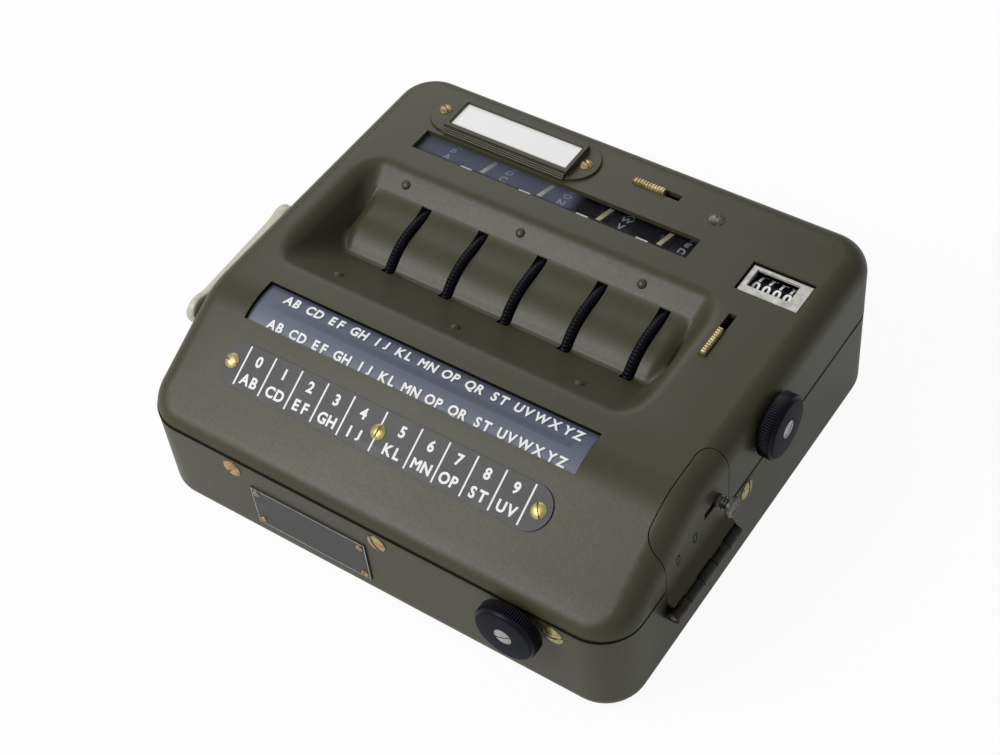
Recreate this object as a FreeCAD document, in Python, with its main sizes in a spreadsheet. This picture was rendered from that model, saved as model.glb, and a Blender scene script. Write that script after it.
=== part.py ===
import FreeCAD, Part
import math
import os
import re

import Sketcher
from FreeCAD import Placement, Rotation, Vector

doc = FreeCAD.newDocument("RotorCipherMachine")
sheet = doc.addObject("Spreadsheet::Sheet", "Sizes")

# Driving dimensions in millimetres and degrees. The floor is z = 0, the front is -Y and the
# middle of the footprint is x = y = 0.
SIZES = {
    "case_width": 160.0,
    "case_depth": 143.5,
    "case_height": 55.5,
    "seam_height": 33.3,
    "cover_wall": 1.6,
    "tray_wall": 2.0,
    "corner_radius": 12.5,
    "top_round": 7.0,
    "base_round": 6.0,
    "slope_angle": 28.5,
    "slope_depth": 36.45,
    "bend_radius": 24.5,
    "seam_groove": 0.5,
    "seam_groove_depth": 0.8,
    # trough and barrel
    "trough_left": 68.0,
    "trough_right": 51.5,
    "trough_rear": 30.0,
    "trough_front": 19.0,
    "trough_depth": 13.27,
    "trough_draft": 24.0,
    "trough_corner": 9.0,
    "trough_foot_corner": 3.0,
    "trough_rim_round": 6.0,
    "trough_wall": 1.2,
    "ledge_line": 23.2,
    "ledge_drop": 5.2,
    "barrel_radius": 18.3,
    "barrel_left": 63.0,
    "barrel_right": 46.5,
    "barrel_end_round": 4.0,
    "barrel_foot_line": 2.6,
    # key wheels
    "axle_line": 16.3,
    "axle_drop": 25.4,
    "axle_radius": 3.0,
    "ring_radius": 20.3,
    "ring_width": 2.8,
    "ring_band": 5.0,
    "ring_pitch": 20.45,
    "first_ring": 44.0,
    "knurl_depth": 0.4,
    "knurl_half": 0.35,
    "ring_knurls": 40.0,
    "knob_knurls": 36.0,
    "slot_reach": 0.6,
    "hub_gap": 0.2,
    "slot_clearance": 0.4,
    "running_clearance": 0.08,
    "web_width": 1.6,
    "hub_radius": 6.0,
    "gear_teeth": 20.0,
    "tooth_tip": 0.6,
    "tooth_root": 0.9,
    "tooth_half": 0.8,
    "gear_width": 2.6,
    "gear_shift": 4.6,
    # letter drums
    "drum_line": 42.5,
    "drum_drop": 19.7,
    "drum_radius": 15.8,
    "drum_width": 7.6,
    "drum_shift": 6.8,
    "drum_rim": 1.4,
    "drum_axle_radius": 2.0,
    "drum_hub_radius": 4.6,
    # windows in the top
    "window_left": 60.0,
    "window_right": 35.3,
    "window_front": 38.5,
    "window_rear": 46.9,
    "pane_thickness": 1.0,
    "pane_border": 2.0,
    "mark_bar_front": 39.4,
    "mark_bar_rear": 41.4,
    "mark_bar_thickness": 0.7,
    "divider_shift": 7.0,
    "divider_half": 0.75,
    "divider_length": 8.4,
    "divider_thickness": 0.4,
    "divider_slant": 18.0,
    "divider_gap": 0.2,
    "display_left": 62.3,
    "display_right": 48.5,
    "display_behind": 8.4,
    "display_ahead": 4.9,
    "pane_gap": 0.1,
    "letter_plate_thickness": 0.8,
    "channel_left": 58.0,
    "channel_right": 43.0,
    "channel_behind": 3.7,
    "channel_width": 2.2,
    # label plate
    "label_left": 64.0,
    "label_right": 5.1,
    "label_inset": 15.15,
    "label_half": 8.2,
    "label_step": 0.8,
    "label_frame_left": 55.8,
    "label_frame_right": 11.4,
    "label_frame_ahead": 7.2,
    "label_frame_behind": 5.9,
    "label_border": 1.4,
    "label_screw_left": 59.9,
    "label_screw_right": 9.2,
    # strip of digits and letter pairs
    "strip_left": 62.3,
    "strip_right": 47.8,
    "strip_ahead": 15.8,
    "strip_half": 6.6,
    "strip_thickness": 0.5,
    "strip_screw_left": 58.8,
    "strip_screw_middle": 7.6,
    "strip_screw_right": 44.2,
    # counter
    "counter_left": 52.4,
    "counter_width": 19.6,
    "counter_front": 35.3,
    "counter_rear": 47.0,
    "counter_gap": 0.5,
    "counter_depth": 16.6,
    "counter_sunk": 0.8,
    "counter_flange": 2.0,
    "counter_flange_thickness": 1.2,
    "counter_wall": 1.0,
    "counter_window_inset": 2.2,
    "counter_window_width": 13.2,
    "counter_window_front": 38.6,
    "counter_window_rear": 45.4,
    "number_wheel_radius": 6.6,
    "number_wheel_width": 3.0,
    "number_wheel_pitch": 3.25,
    "number_axle_line": 42.0,
    "number_axle_depth": 8.6,
    "number_axle_radius": 1.0,
    # sliders
    "slider_slot_width": 2.4,
    "slider_across_left": 6.2,
    "slider_across_right": 22.0,
    "slider_across_inset": 13.45,
    "slider_along_front": 9.2,
    "slider_along_rear": 26.4,
    "slider_along_line": 57.3,
    "slider_knob_length": 10.4,
    "slider_knob_rise": 1.1,
    "slider_knob_width": 2.2,
    "slider_foot_width": 5.0,
    "slider_foot_thickness": 1.2,
    "slider_gap": 0.2,
    # knobs
    "knob_radius": 9.5,
    "knob_bevel": 0.6,
    "knob_thickness": 4.9,
    "front_knob_gap": 1.8,
    "side_knob_gap": 0.7,
    "knob_screw_radius": 2.7,
    "knob_screw_rise": 0.5,
    "knob_shaft_radius": 2.5,
    "shaft_reach": 12.0,
    "bush_radius": 3.3,
    "bush_length": 8.0,
    "front_knob_line": 49.2,
    "front_knob_height": 28.0,
    "side_knob_line": 6.0,
    "side_knob_drop": 10.3,
    # chassis
    "plate_thickness": 2.0,
    "left_plate_inset": 8.0,
    "right_plate_face": 50.4,
    "rod_radius": 2.5,
    # lever
    "lever_line": 3.0,
    "lever_drop": 12.1,
    "lever_reach": 41.0,
    "lever_boss_radius": 4.8,
    "lever_pad_radius": 4.6,
    "lever_arm_half": 2.4,
    "lever_gap": 1.5,
    "lever_thickness": 5.0,
    "lever_arm_thickness": 3.2,
    "lever_shaft_radius": 2.5,
    # door
    "door_depth": 7.2,
    "door_rear": 15.6,
    "door_front": 48.1,
    "door_foot": 26.6,
    "door_corner": 5.0,
    "door_gap": 0.3,
    "apron_top": 29.4,
    "hinge_reach": 3.0,
    "hinge_height": 25.2,
    "hinge_radius": 1.8,
    "hinge_pin_radius": 0.8,
    "hinge_front": 49.6,
    "knuckle_length": 6.4,
    "knuckle_gap": 0.3,
    "latch_line": 21.9,
    "latch_height": 42.4,
    "latch_travel": 5.0,
    "latch_stem_radius": 1.2,
    "latch_head_radius": 3.0,
    "latch_head_length": 1.6,
    "latch_collar_radius": 2.0,
    "latch_reach": 5.2,
    "latch_play": 0.3,
    # plates and screws
    "nameplate_left": 40.9,
    "nameplate_right": 0.8,
    "nameplate_bottom": 8.7,
    "nameplate_top": 24.6,
    "nameplate_thickness": 0.5,
    "nameplate_rivet_inset": 1.9,
    "rivet_radius": 1.0,
    "rivet_rise": 0.7,
    "screw_radius": 3.0,
    "screw_rise": 1.0,
    "shank_radius": 1.4,
    "shank_length": 5.0,
    "small_screw_radius": 2.2,
    "screw_height": 28.9,
    "front_screw_left": 46.7,
    "front_screw_middle": 3.8,
    "front_screw_right": 60.6,
    "side_screw_line": 6.1,
    "top_screw_line": 35.4,
    "top_screw_inset": 15.75,
    "trough_rivet_pitch": 41.0,
    "trough_rivet_first": 53.7,
    "trough_rivet_radius": 1.3,
}
# Places that keep their share of the case's width.
ACROSS = set("""
    trough_left trough_right barrel_left barrel_right ring_pitch first_ring gear_shift drum_shift
    divider_shift window_left window_right display_left display_right channel_left channel_right
    label_left label_right label_frame_left label_frame_right label_screw_left label_screw_right
    strip_left strip_right strip_screw_left strip_screw_middle strip_screw_right counter_left
    slider_along_line top_screw_line trough_rivet_pitch trough_rivet_first front_knob_line
    front_screw_left front_screw_middle front_screw_right right_plate_face
    """.split())
# Places that are taken from a side, from the top or from one another.
TIED = {
    "bend_line": "case_depth / 2 - slope_depth",
    "display_rear": "bend_line - display_behind",
    "display_front": "bend_line + display_ahead",
    "channel_rear": "bend_line - channel_behind",
    "channel_front": "bend_line - channel_behind + channel_width",
    "strip_middle": "bend_line + strip_ahead",
    "label_line": "case_depth / 2 - label_inset",
    "label_frame_front": "label_line - label_frame_ahead",
    "label_frame_rear": "label_line + label_frame_behind",
    "slider_across_line": "case_depth / 2 - slider_across_inset",
    "top_screw_rear": "case_depth / 2 - top_screw_inset",
    "counter_right": "counter_left + counter_width",
    "counter_window_left": "counter_left + counter_window_inset",
    "counter_window_right": "counter_window_left + counter_window_width",
    "left_plate_face": "case_width / 2 - left_plate_inset",
    "door_inner": "case_width / 2 - door_depth",
    "axle_height": "case_height - axle_drop",
    "drum_height": "case_height - drum_drop",
    "lever_height": "case_height - lever_drop",
    "side_knob_height": "case_height - side_knob_drop",
}
for row, (name, size) in enumerate([*SIZES.items(), ("across", "=case_width / 160")], start=1):
    sheet.set("A%d" % row, name)
    sheet.set("B%d" % row, str(size))
    sheet.setAlias("B%d" % row, name)
doc.recompute()

WORD = re.compile(r"[a-z][a-z_]+")
FACING = {
    "X": Rotation(Vector(0, 1, 0), 90),
    "-X": Rotation(Vector(0, 1, 0), -90),
    "Y": Rotation(Vector(1, 0, 0), -90),
    "-Y": Rotation(Vector(1, 0, 0), 90),
    "Z": Rotation(),
    "-Z": Rotation(Vector(1, 0, 0), 180),
}
parts = []


def formula(text):
    """The expression with each size's name pointing at its cell, and each tied name worked out."""
    def swap(found):
        name = found.group()
        if name in TIED:
            return "(" + formula(TIED[name]) + ")"
        if name in ACROSS:
            return "(Sizes.across * Sizes.%s)" % name
        return "Sizes." + name if name in SIZES else name

    return WORD.sub(swap, str(text))


def value(text):
    """The number that an expression gives now."""
    found = sheet.evalExpression(formula(text))
    return float(getattr(found, "Value", found))


def link(item, **properties):
    """Ties properties to expressions."""
    for name, text in properties.items():
        item.setExpression(name, formula(text))


def place(item, base, turn=Rotation()):
    """Turns an item and ties its place to three expressions."""
    item.Placement = Placement(Vector(*[value(text) for text in base]), turn)
    for axis, text in zip("xyz", base):
        item.setExpression("Placement.Base." + axis, formula(text))
    return item


def part(label, item):
    """Marks an item as a sub-part of the machine under its own label."""
    item.Label = label
    parts.append(item)
    return item


def box(name, low, high):
    """A box between two corners."""
    item = doc.addObject("Part::Box", name)
    spans = ["(%s) - (%s)" % (b, a) for a, b in zip(low, high)]
    link(item, Length=spans[0], Width=spans[1], Height=spans[2])
    return place(item, low)


def cylinder(name, radius, length, base, along="Z"):
    """A round bar that starts at base and runs along an axis."""
    item = doc.addObject("Part::Cylinder", name)
    link(item, Radius=radius, Height=length)
    return place(item, base, FACING[along])


def cut(name, base, *tools):
    """The base without the tools."""
    item = doc.addObject("Part::Cut", name)
    item.Base = base
    item.Tool = tools[0] if len(tools) == 1 else fuse(name + "_tools", *tools)
    return item


def fuse(name, *items):
    """The items joined."""
    item = doc.addObject("Part::MultiFuse", name)
    item.Shapes = list(items)
    return item


def common(name, *items):
    """What the items share."""
    item = doc.addObject("Part::MultiCommon", name)
    item.Shapes = list(items)
    return item


def group(name, *items):
    """Separate solids of one kind, kept as one sub-part."""
    item = doc.addObject("Part::Compound", name)
    item.Links = list(items)
    return item


def origin_plane(body, role):
    """An origin plane of the body."""
    return next(o for o in body.Origin.OriginFeatures if o.Role == role)


def sketch(body, role, loops, offset="0"):
    """A sketch on an origin plane, moved off it by an expression.

    A loop is a list of corner points, or a centre and radius, all given as expressions.
    """
    item = body.newObject("Sketcher::SketchObject", body.Name + "_sketch")
    item.AttachmentSupport = [(origin_plane(body, role), "")]
    item.MapMode = "FlatFace"
    item.setExpression("AttachmentOffset.Base.z", formula(offset))
    for loop in loops:
        if loop[0] == "circle":
            _, centre, radius = loop
            middle = Vector(value(centre[0]), value(centre[1]), 0)
            curve = item.addGeometry(Part.Circle(middle, Vector(0, 0, 1), value(radius)), False)
            dimension(item, ("Radius", curve), radius)
            fix_point(item, curve, 3, centre)
        else:
            points = [Vector(value(x), value(y), 0) for x, y in loop]
            pairs = zip(points, points[1:] + points[:1])
            first = item.GeometryCount
            for start, end in pairs:
                item.addGeometry(Part.LineSegment(start, end), False)
            count = len(points)
            for k in range(count):
                following = first + (k + 1) % count
                item.addConstraint(Sketcher.Constraint("Coincident", first + k, 2, following, 1))
            for k, point in enumerate(loop):
                fix_point(item, first + k, 1, point)
    return item


def dimension(item, what, text):
    """Adds a dimension that follows an expression."""
    number = item.addConstraint(Sketcher.Constraint(*what, value(text)))
    item.setExpression("Constraints[%d]" % number, formula(text))


def fix_point(item, curve, end, point):
    """Dimensions a sketch point from the origin."""
    for kind, text in zip(("DistanceX", "DistanceY"), point):
        dimension(item, (kind, -1, 1, curve, end), text)


def new_body(name):
    return doc.addObject("PartDesign::Body", name)


def pad(body, profile, length, midplane=False, taper=None, reverse=False):
    """Raises a sketch into a solid."""
    item = body.newObject("PartDesign::Pad", body.Name + "_pad")
    item.Profile = profile
    item.Midplane = midplane
    item.Reversed = reverse
    link(item, Length=length)
    if taper:
        link(item, TaperAngle=taper)
    return item


def pocket(body, profile, length=None, midplane=False, reverse=False):
    """Sinks a sketch into the body, right through where no length is given."""
    item = body.newObject("PartDesign::Pocket", body.Name + "_pocket")
    item.Profile = profile
    item.Midplane = midplane
    item.Reversed = reverse
    if length is None:
        item.Type = "ThroughAll"
    else:
        link(item, Length=length)
    return item


def spun(name, points, axis="V_Axis"):
    """A body turned about Z from points given as radius and height.

    With H_Axis it is turned about X, from points given as distance and radius.
    """
    body = new_body(name)
    profile = sketch(body, "XZ_Plane", [points])
    item = body.newObject("PartDesign::Revolution", name + "_turn")
    item.Profile = profile
    item.ReferenceAxis = (profile, [axis])
    item.Angle = 360.0
    return body


def spread(body, feature, count):
    """Repeats a feature round the body's X axis."""
    item = body.newObject("PartDesign::PolarPattern", body.Name + "_pattern")
    item.Originals = [feature]
    item.Axis = (origin_plane(body, "X_Axis"), [""])
    item.Angle = 360.0
    link(item, Occurrences=count)
    body.Tip = item
    return item


def copy(name, master, base, turn=Rotation(), tilt=None):
    """The master set down at another place, tilted about X where tilt is given."""
    item = doc.addObject("Part::Compound", name)
    item.Links = [master]
    if tilt:
        turn = Rotation(Vector(1, 0, 0), value(tilt))
    place(item, base, turn)
    if tilt:
        item.setExpression("Placement.Rotation.Angle", formula(tilt))
    return item


def edges(item, test):
    """Names of the edges whose ends and middle all pass the test."""
    names = []
    for number, edge in enumerate(item.Shape.Edges, start=1):
        middle = edge.valueAt((edge.FirstParameter + edge.LastParameter) / 2)
        points = [vertex.Point for vertex in edge.Vertexes] + [middle]
        if all(test(point) for point in points):
            names.append("Edge%d" % number)
    return names


def round_edges(body, names, radius):
    """A fillet on named edges of the body's last feature."""
    base = body.Tip
    item = body.newObject("PartDesign::Fillet", body.Name + "_round")
    item.Base = (base, names)
    link(item, Radius=radius)
    doc.recompute()
    return item


def near(a, b):
    return abs(a - b) < 1e-4


# Both shells of the case are cut from one outline: a rounded block with a sloping front.
def case_form(name, inset, floor):
    """The outside of the case moved inwards by inset, standing on floor."""
    half_depth = "(case_depth / 2 - %s)" % inset
    top = "(case_height - %s)" % inset
    bend = "(-bend_line + %s * tan(slope_angle / 2))" % inset
    fall = "(bend_line - case_depth / 2)"
    front_top = "(case_height + (%s + %s) * tan(slope_angle) - %s / cos(slope_angle))" % (
        fall, inset, inset)
    body = new_body(name)
    corners = [
        ("-" + half_depth, floor),
        (half_depth, floor),
        (half_depth, top),
        (bend, top),
        ("-" + half_depth, front_top),
    ]
    pad(body, sketch(body, "YZ_Plane", [corners]), "case_width - 2 * " + inset, midplane=True)
    doc.recompute()
    width, depth = value("case_width / 2 - " + inset), value(half_depth)
    radius, low = value("corner_radius - " + inset), value(floor)

    def on_wall(point):
        across, along = abs(point.x) - width + radius, abs(point.y) - depth + radius
        if across > 0 and along > 0:
            return abs(math.hypot(across, along) - radius) < 1e-3
        return abs(max(across, along) - radius) < 1e-3

    def bend_edge(point):
        return near(point.y, value(bend)) and near(point.z, value(top))

    round_edges(body, edges(body, bend_edge), "bend_radius - " + inset)

    def corner_edge(point):
        return near(abs(point.x), width) and near(abs(point.y), depth)

    round_edges(body, edges(body, corner_edge), "corner_radius - " + inset)
    lowest_top = value(front_top)

    def top_edge(point):
        return on_wall(point) and point.z > lowest_top - 1e-3

    def upright(edge_name):
        edge = body.Shape.Edges[int(edge_name[4:]) - 1]
        ends = [vertex.Point for vertex in edge.Vertexes]
        return math.hypot(ends[0].x - ends[-1].x, ends[0].y - ends[-1].y) < 1e-4

    around = [edge for edge in edges(body, top_edge) if not upright(edge)]
    round_edges(body, around, "top_round - " + inset)
    round_edges(body, edges(body, lambda point: near(point.z, low)), "base_round - " + inset)
    return body


# The trough in the cover, with the barrel that shields the key wheels.
def bowl(name, grow):
    """The space of the trough down to the foot of the barrel, its walls moved out by grow."""
    lift = "(case_height + 4)"
    foot = "(case_height - trough_depth)"
    deep = "(%s - %s)" % (foot, grow)
    rear = "((trough_rear - ledge_line) / ledge_drop)"
    front = "((trough_front + barrel_foot_line) / (case_height - %s))" % foot
    rear_out = "%s * sqrt(1 + %s ^ 2)" % (grow, rear)
    front_out = "%s * sqrt(1 + %s ^ 2)" % (grow, front)
    section = [
        ("trough_rear + 4 * %s + %s" % (rear, rear_out), lift),
        ("-trough_front - 4 * %s - %s" % (front, front_out), lift),
        ("-trough_front + (case_height - %s) * %s - %s" % (deep, front, front_out), deep),
        ("trough_rear - (case_height - %s) * %s + %s" % (deep, rear, rear_out), deep),
    ]
    across = new_body(name + "_across")
    pad(across, sketch(across, "YZ_Plane", [section]), "case_width", midplane=True)
    out = "4 * tan(trough_draft) + %s / cos(trough_draft)" % grow
    draw = "(case_height - %s) * tan(trough_draft) - %s / cos(trough_draft)" % (deep, grow)
    ends = [
        ("-trough_left - (%s)" % out, lift),
        ("trough_right + " + out, lift),
        ("trough_right - (%s)" % draw, deep),
        ("-trough_left + " + draw, deep),
    ]
    along = new_body(name + "_along")
    pad(along, sketch(along, "XZ_Plane", [ends]), "case_depth", midplane=True)
    hopper = common(name + "_hopper", across, along)
    doc.recompute()
    return hopper


def fillet(name, base, numbers, radius, low_radius=None):
    """A fillet on numbered edges of a shape, with a smaller radius at the lower ends."""
    item = doc.addObject("Part::Fillet", name)
    item.Base = base
    rounds = []
    for number in numbers:
        edge = base.Shape.Edges[number - 1]
        rises = edge.valueAt(edge.LastParameter).z > edge.valueAt(edge.FirstParameter).z
        pair = [value(low_radius or radius), value(radius)]
        rounds.append((number, *(pair if rises else pair[::-1])))
    item.Edges = rounds
    doc.recompute()
    return item


def slanted(item):
    """Numbers of the edges that run from the rim down to the foot."""
    numbers = []
    for number, edge in enumerate(item.Shape.Edges, start=1):
        if edge.BoundBox.ZLength > 1:
            numbers.append(number)
    return numbers


def barrel(name, grow):
    """The barrel over the key wheels, with rounded ends."""
    radius, turn = "(barrel_radius - %s)" % grow, "(barrel_end_round - %s / 2)" % grow
    low, high = "(-barrel_left + %s)" % grow, "(barrel_right - %s)" % grow
    half = "0.3 * " + turn
    profile = [
        (low, "0"),
        (high, "0"),
        (high, "%s - %s" % (radius, turn)),
        ("%s - %s" % (high, half), "%s - %s" % (radius, half)),
        ("%s - %s" % (high, turn), radius),
        ("%s + %s" % (low, turn), radius),
        ("%s + %s" % (low, half), "%s - %s" % (radius, half)),
        (low, "%s - %s" % (radius, turn)),
    ]
    return place(spun(name, profile, "H_Axis"), ("0", "axle_line", "axle_height"))


def trough_space(name, grow):
    """What is pressed out of the cover: the bowl and the groove, less the barrel."""
    hopper = bowl(name, grow)
    rounded = fillet(name + "_bowl", hopper, slanted(hopper), "trough_corner", "trough_foot_corner")
    groove = box(name + "_groove",
                 ("-barrel_left - " + grow, "axle_line", "case_height - ledge_drop - 3.2 - " + grow),
                 ("barrel_right + " + grow, "ledge_line + " + grow, "case_height - ledge_drop + 1"))
    return cut(name, fuse(name + "_hollow", rounded, groove), barrel(name + "_barrel", grow))


outer_form = case_form("outer_form", "0", "0")
FLOOR = "tray_wall"
cover_inner = case_form("cover_inner", "cover_wall", FLOOR)
tray_inner = case_form("tray_inner", "tray_wall", FLOOR)
lip_form = case_form("lip_form", "seam_groove_depth", FLOOR)
plate_inner = case_form("plate_inner", "(cover_wall + letter_plate_thickness)", FLOOR)
trough = trough_space("trough", "0")
trough_back = trough_space("trough_back", "trough_wall")
doc.recompute()

# Top cover: the outer form hollowed, with the trough pressed into it and its rim rounded.
SEAM_TOP = "(seam_height + seam_groove / 2)"
SEAM_FOOT = "(seam_height - seam_groove / 2)"
FAR = "case_width"
above_seam = box("above_seam", ("-" + FAR, "-" + FAR, SEAM_TOP), (FAR, FAR, "2 * case_height"))
hollow = cut("hollow", cover_inner, trough_back)
shell = cut("shell", common("cover_block", outer_form, above_seam), hollow, trough)
doc.recompute()


def rim_edges(item):
    """Numbers of the edges where the trough meets the flat top."""
    found = []
    left, right = value("-trough_left - 1"), value("trough_right + 1")
    front, rear = value("-trough_front - 1"), value("trough_rear + 1")
    for number, edge in enumerate(item.Shape.Edges, start=1):
        low, high = edge.BoundBox.ZMin, edge.BoundBox.ZMax
        inside = left < edge.BoundBox.XMin and edge.BoundBox.XMax < right
        inside = inside and front < edge.BoundBox.YMin and edge.BoundBox.YMax < rear
        if inside and abs(low - value("case_height")) < 0.01 and high - low < 0.01:
            found.append(number)
    return found


shell_round = fillet("shell_round", shell, rim_edges(shell), "trough_rim_round")

# Openings through the cover. Slot widths leave the rings running room on both sides.
HALF_SLOT = "(ring_width / 2 + slot_clearance)"
cover_cuts = []
tray_cuts = []
RING_PLACES = ["(-first_ring + %d * ring_pitch)" % k for k in range(5)]
for k, middle in enumerate(RING_PLACES, start=1):
    cover_cuts.append(cylinder("ring_slot_%d" % k, "ring_radius + slot_reach", "2 * " + HALF_SLOT,
                               ("%s - %s" % (middle, HALF_SLOT), "axle_line", "axle_height"), "X"))
TOP = "case_height"
UNDER_TOP = "(case_height - 3 * cover_wall)"
OVER_TOP = "(case_height + 3 * cover_wall)"
cover_cuts.append(box("letter_opening", ("-window_left", "window_front", UNDER_TOP),
                      ("window_right", "window_rear", OVER_TOP)))
cover_cuts.append(box("counter_opening", ("counter_left", "counter_front", UNDER_TOP),
                      ("counter_right", "counter_rear", OVER_TOP)))
cover_cuts.append(box("display_opening", ("-display_left", "-display_front", "seam_height"),
                      ("display_right", "-display_rear", OVER_TOP)))
cover_cuts.append(box("across_slot",
                      ("slider_across_left", "slider_across_line - slider_slot_width / 2", UNDER_TOP),
                      ("slider_across_right", "slider_across_line + slider_slot_width / 2", OVER_TOP)))
cover_cuts.append(box("along_slot",
                      ("slider_along_line - slider_slot_width / 2", "slider_along_front", UNDER_TOP),
                      ("slider_along_line + slider_slot_width / 2", "slider_along_rear", OVER_TOP)))


# Fasteners are made once and set down where they are needed, each in its own hole.
def screw(name, radius, rise, length, slotted=True):
    """A domed head on a plain shank, the head standing on z = 0."""
    outline = [
        ("0", "-" + length),
        ("shank_radius * %s / screw_radius" % radius, "-" + length),
        ("shank_radius * %s / screw_radius" % radius, "0"),
        (radius, "0"),
        (radius, "0.3 * " + rise),
        ("0.85 * " + radius, "0.75 * " + rise),
        ("0.5 * " + radius, rise),
        ("0", rise),
    ]
    head = spun(name, outline)
    if not slotted:
        return head
    slot = box(name + "_slot", ("-" + radius, "-0.12 * " + radius, "0.45 * " + rise),
               (radius, "0.12 * " + radius, "2 * " + rise))
    return cut(name + "_slotted", head, slot)


screw_master = screw("screw_master", "screw_radius", "screw_rise", "shank_length")
small_master = screw("small_master", "small_screw_radius", "screw_rise", "(2 * cover_wall)")
rivet_master = screw("rivet_master", "rivet_radius", "rivet_rise", "cover_wall", False)
trough_rivet = screw("trough_rivet", "trough_rivet_radius", "rivet_rise", "trough_wall", False)


def fasteners(label, master, radius, places, cuts, turn=Rotation(), tilt=None):
    """Copies of a fastener as one sub-part, with holes for their shanks added to cuts."""
    made = []
    for k, base in enumerate(places, start=1):
        made.append(copy("%s_%d" % (label, k), master, base, turn, tilt))
        hole = doc.addObject("Part::Cylinder", "%s_hole_%d" % (label, k))
        link(hole, Radius="shank_radius * %s / screw_radius" % radius, Height="4 * shank_length")
        centred = doc.addObject("Part::Compound", "%s_bore_%d" % (label, k))
        centred.Links = [hole]
        place(hole, ("0", "0", "-2 * shank_length"))
        place(centred, base, made[-1].Placement.Rotation)
        if tilt:
            centred.setExpression("Placement.Rotation.Angle", formula(tilt))
        cuts.append(centred)
    return made


FRONT = "(-case_depth / 2)"
front_screws = fasteners("front_screw", screw_master, "screw_radius", [
    ("-front_screw_left", FRONT, "screw_height"),
    ("front_screw_middle", FRONT, "screw_height"),
    ("front_screw_right", FRONT, "screw_height"),
], tray_cuts, FACING["-Y"])
side_screw = fasteners("side_screw", screw_master, "screw_radius", [
    ("case_width / 2", "-side_screw_line", "screw_height"),
], tray_cuts, FACING["X"])
top_screw = fasteners("top_screw", small_master, "small_screw_radius",
                      [("top_screw_line", "top_screw_rear", TOP)], cover_cuts)
part("case_screws", group("case_screw_group", *front_screws, *side_screw, *top_screw))
LEDGE_TILT = "atan(ledge_drop / (trough_rear - ledge_line))"
FRONT_TILT = "-atan(trough_depth / (trough_front + barrel_foot_line))"
rivet_rows = []
for row, (tilt, line, start) in enumerate([
    (LEDGE_TILT, "(0.45 * trough_rear + 0.55 * ledge_line)", "trough_rivet_first"),
    (FRONT_TILT, "(-0.7 * trough_front + 0.3 * barrel_foot_line)", "(trough_rivet_first - 3.8)"),
]):
    if row == 0:
        height = "case_height - (trough_rear - %s) * tan(%s)" % (line, tilt)
    else:
        height = "case_height + (%s + trough_front) * tan(%s)" % (line, tilt)
    places = [("-%s + %d * trough_rivet_pitch" % (start, k), line, height) for k in range(3)]
    rivet_rows += fasteners("trough_rivet_row_%d" % row, trough_rivet, "trough_rivet_radius",
                            places, cover_cuts, tilt=tilt)
part("trough_rivets", group("trough_rivet_group", *rivet_rows))
doc.recompute()

# Nameplate and its rivets, on the front of the tray.
nameplate_blank = box("nameplate_blank",
                      ("-nameplate_left", "-case_depth / 2 - nameplate_thickness", "nameplate_bottom"),
                      ("-nameplate_right", "-case_depth / 2", "nameplate_top"))
PLATE_FACE = "(-case_depth / 2 - nameplate_thickness)"
plate_cuts = []
corners = [(x, PLATE_FACE, z) for x in ("-nameplate_left + nameplate_rivet_inset",
                                        "-nameplate_right - nameplate_rivet_inset")
           for z in ("nameplate_bottom + nameplate_rivet_inset",
                     "nameplate_top - nameplate_rivet_inset")]
part("nameplate_rivets", group("nameplate_rivet_group", *fasteners(
    "nameplate_rivet", rivet_master, "rivet_radius", corners, plate_cuts, FACING["-Y"])))
tray_cuts += plate_cuts
part("nameplate", cut("nameplate_body", nameplate_blank, *plate_cuts))

# Card door: a piece of the wall on the right, with an apron down to its hinge.
HINGE_X = "(case_width / 2 + hinge_reach)"


def door_outline(name, gap):
    """The upright block that the door is cut from, smaller by gap all round."""
    block = new_body(name)
    low, high = "door_inner + " + gap, "2 * case_width"
    front, rear = "-door_front + " + gap, "-door_rear - " + gap
    plan = [(low, front), (high, front), (high, rear), (low, rear)]
    pad(block, sketch(block, "XY_Plane", [plan], "door_foot + " + gap), "2 * case_height")
    doc.recompute()

    def inner(point):
        return near(point.x, value(low))

    upright = [edge for edge in edges(block, inner)
               if block.Shape.Edges[int(edge[4:]) - 1].BoundBox.ZLength > 1]
    round_edges(block, upright, "door_corner - " + gap)
    return block


door_way = door_outline("door_way", "0")
door_block = door_outline("door_block", "door_gap")
cover_cuts.append(door_way)
tray_cuts.append(door_way)
apron = new_body("apron")
apron_points = [
    ("case_width / 2 - cover_wall", "apron_top"),
    ("case_width / 2", "apron_top"),
    (HINGE_X + " - 0.3 * hinge_radius", "hinge_height + 0.9 * hinge_radius"),
    (HINGE_X, "hinge_height"),
    ("case_width / 2 - cover_wall / 2", "door_foot + cover_wall"),
]
profile = sketch(apron, "XZ_Plane", [apron_points], "door_rear + door_gap")
pad(apron, profile, "door_front - door_rear - 2 * door_gap")
KNUCKLES = ["(-hinge_front + %d * (knuckle_length + knuckle_gap))" % k for k in range(5)]


def knuckle(name, k, grow="0"):
    """One length of the hinge barrel."""
    return cylinder(name, "hinge_radius + " + grow, "knuckle_length + 2 * " + grow,
                    (HINGE_X, "%s - %s" % (KNUCKLES[k], grow), "hinge_height"), "Y")


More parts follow.
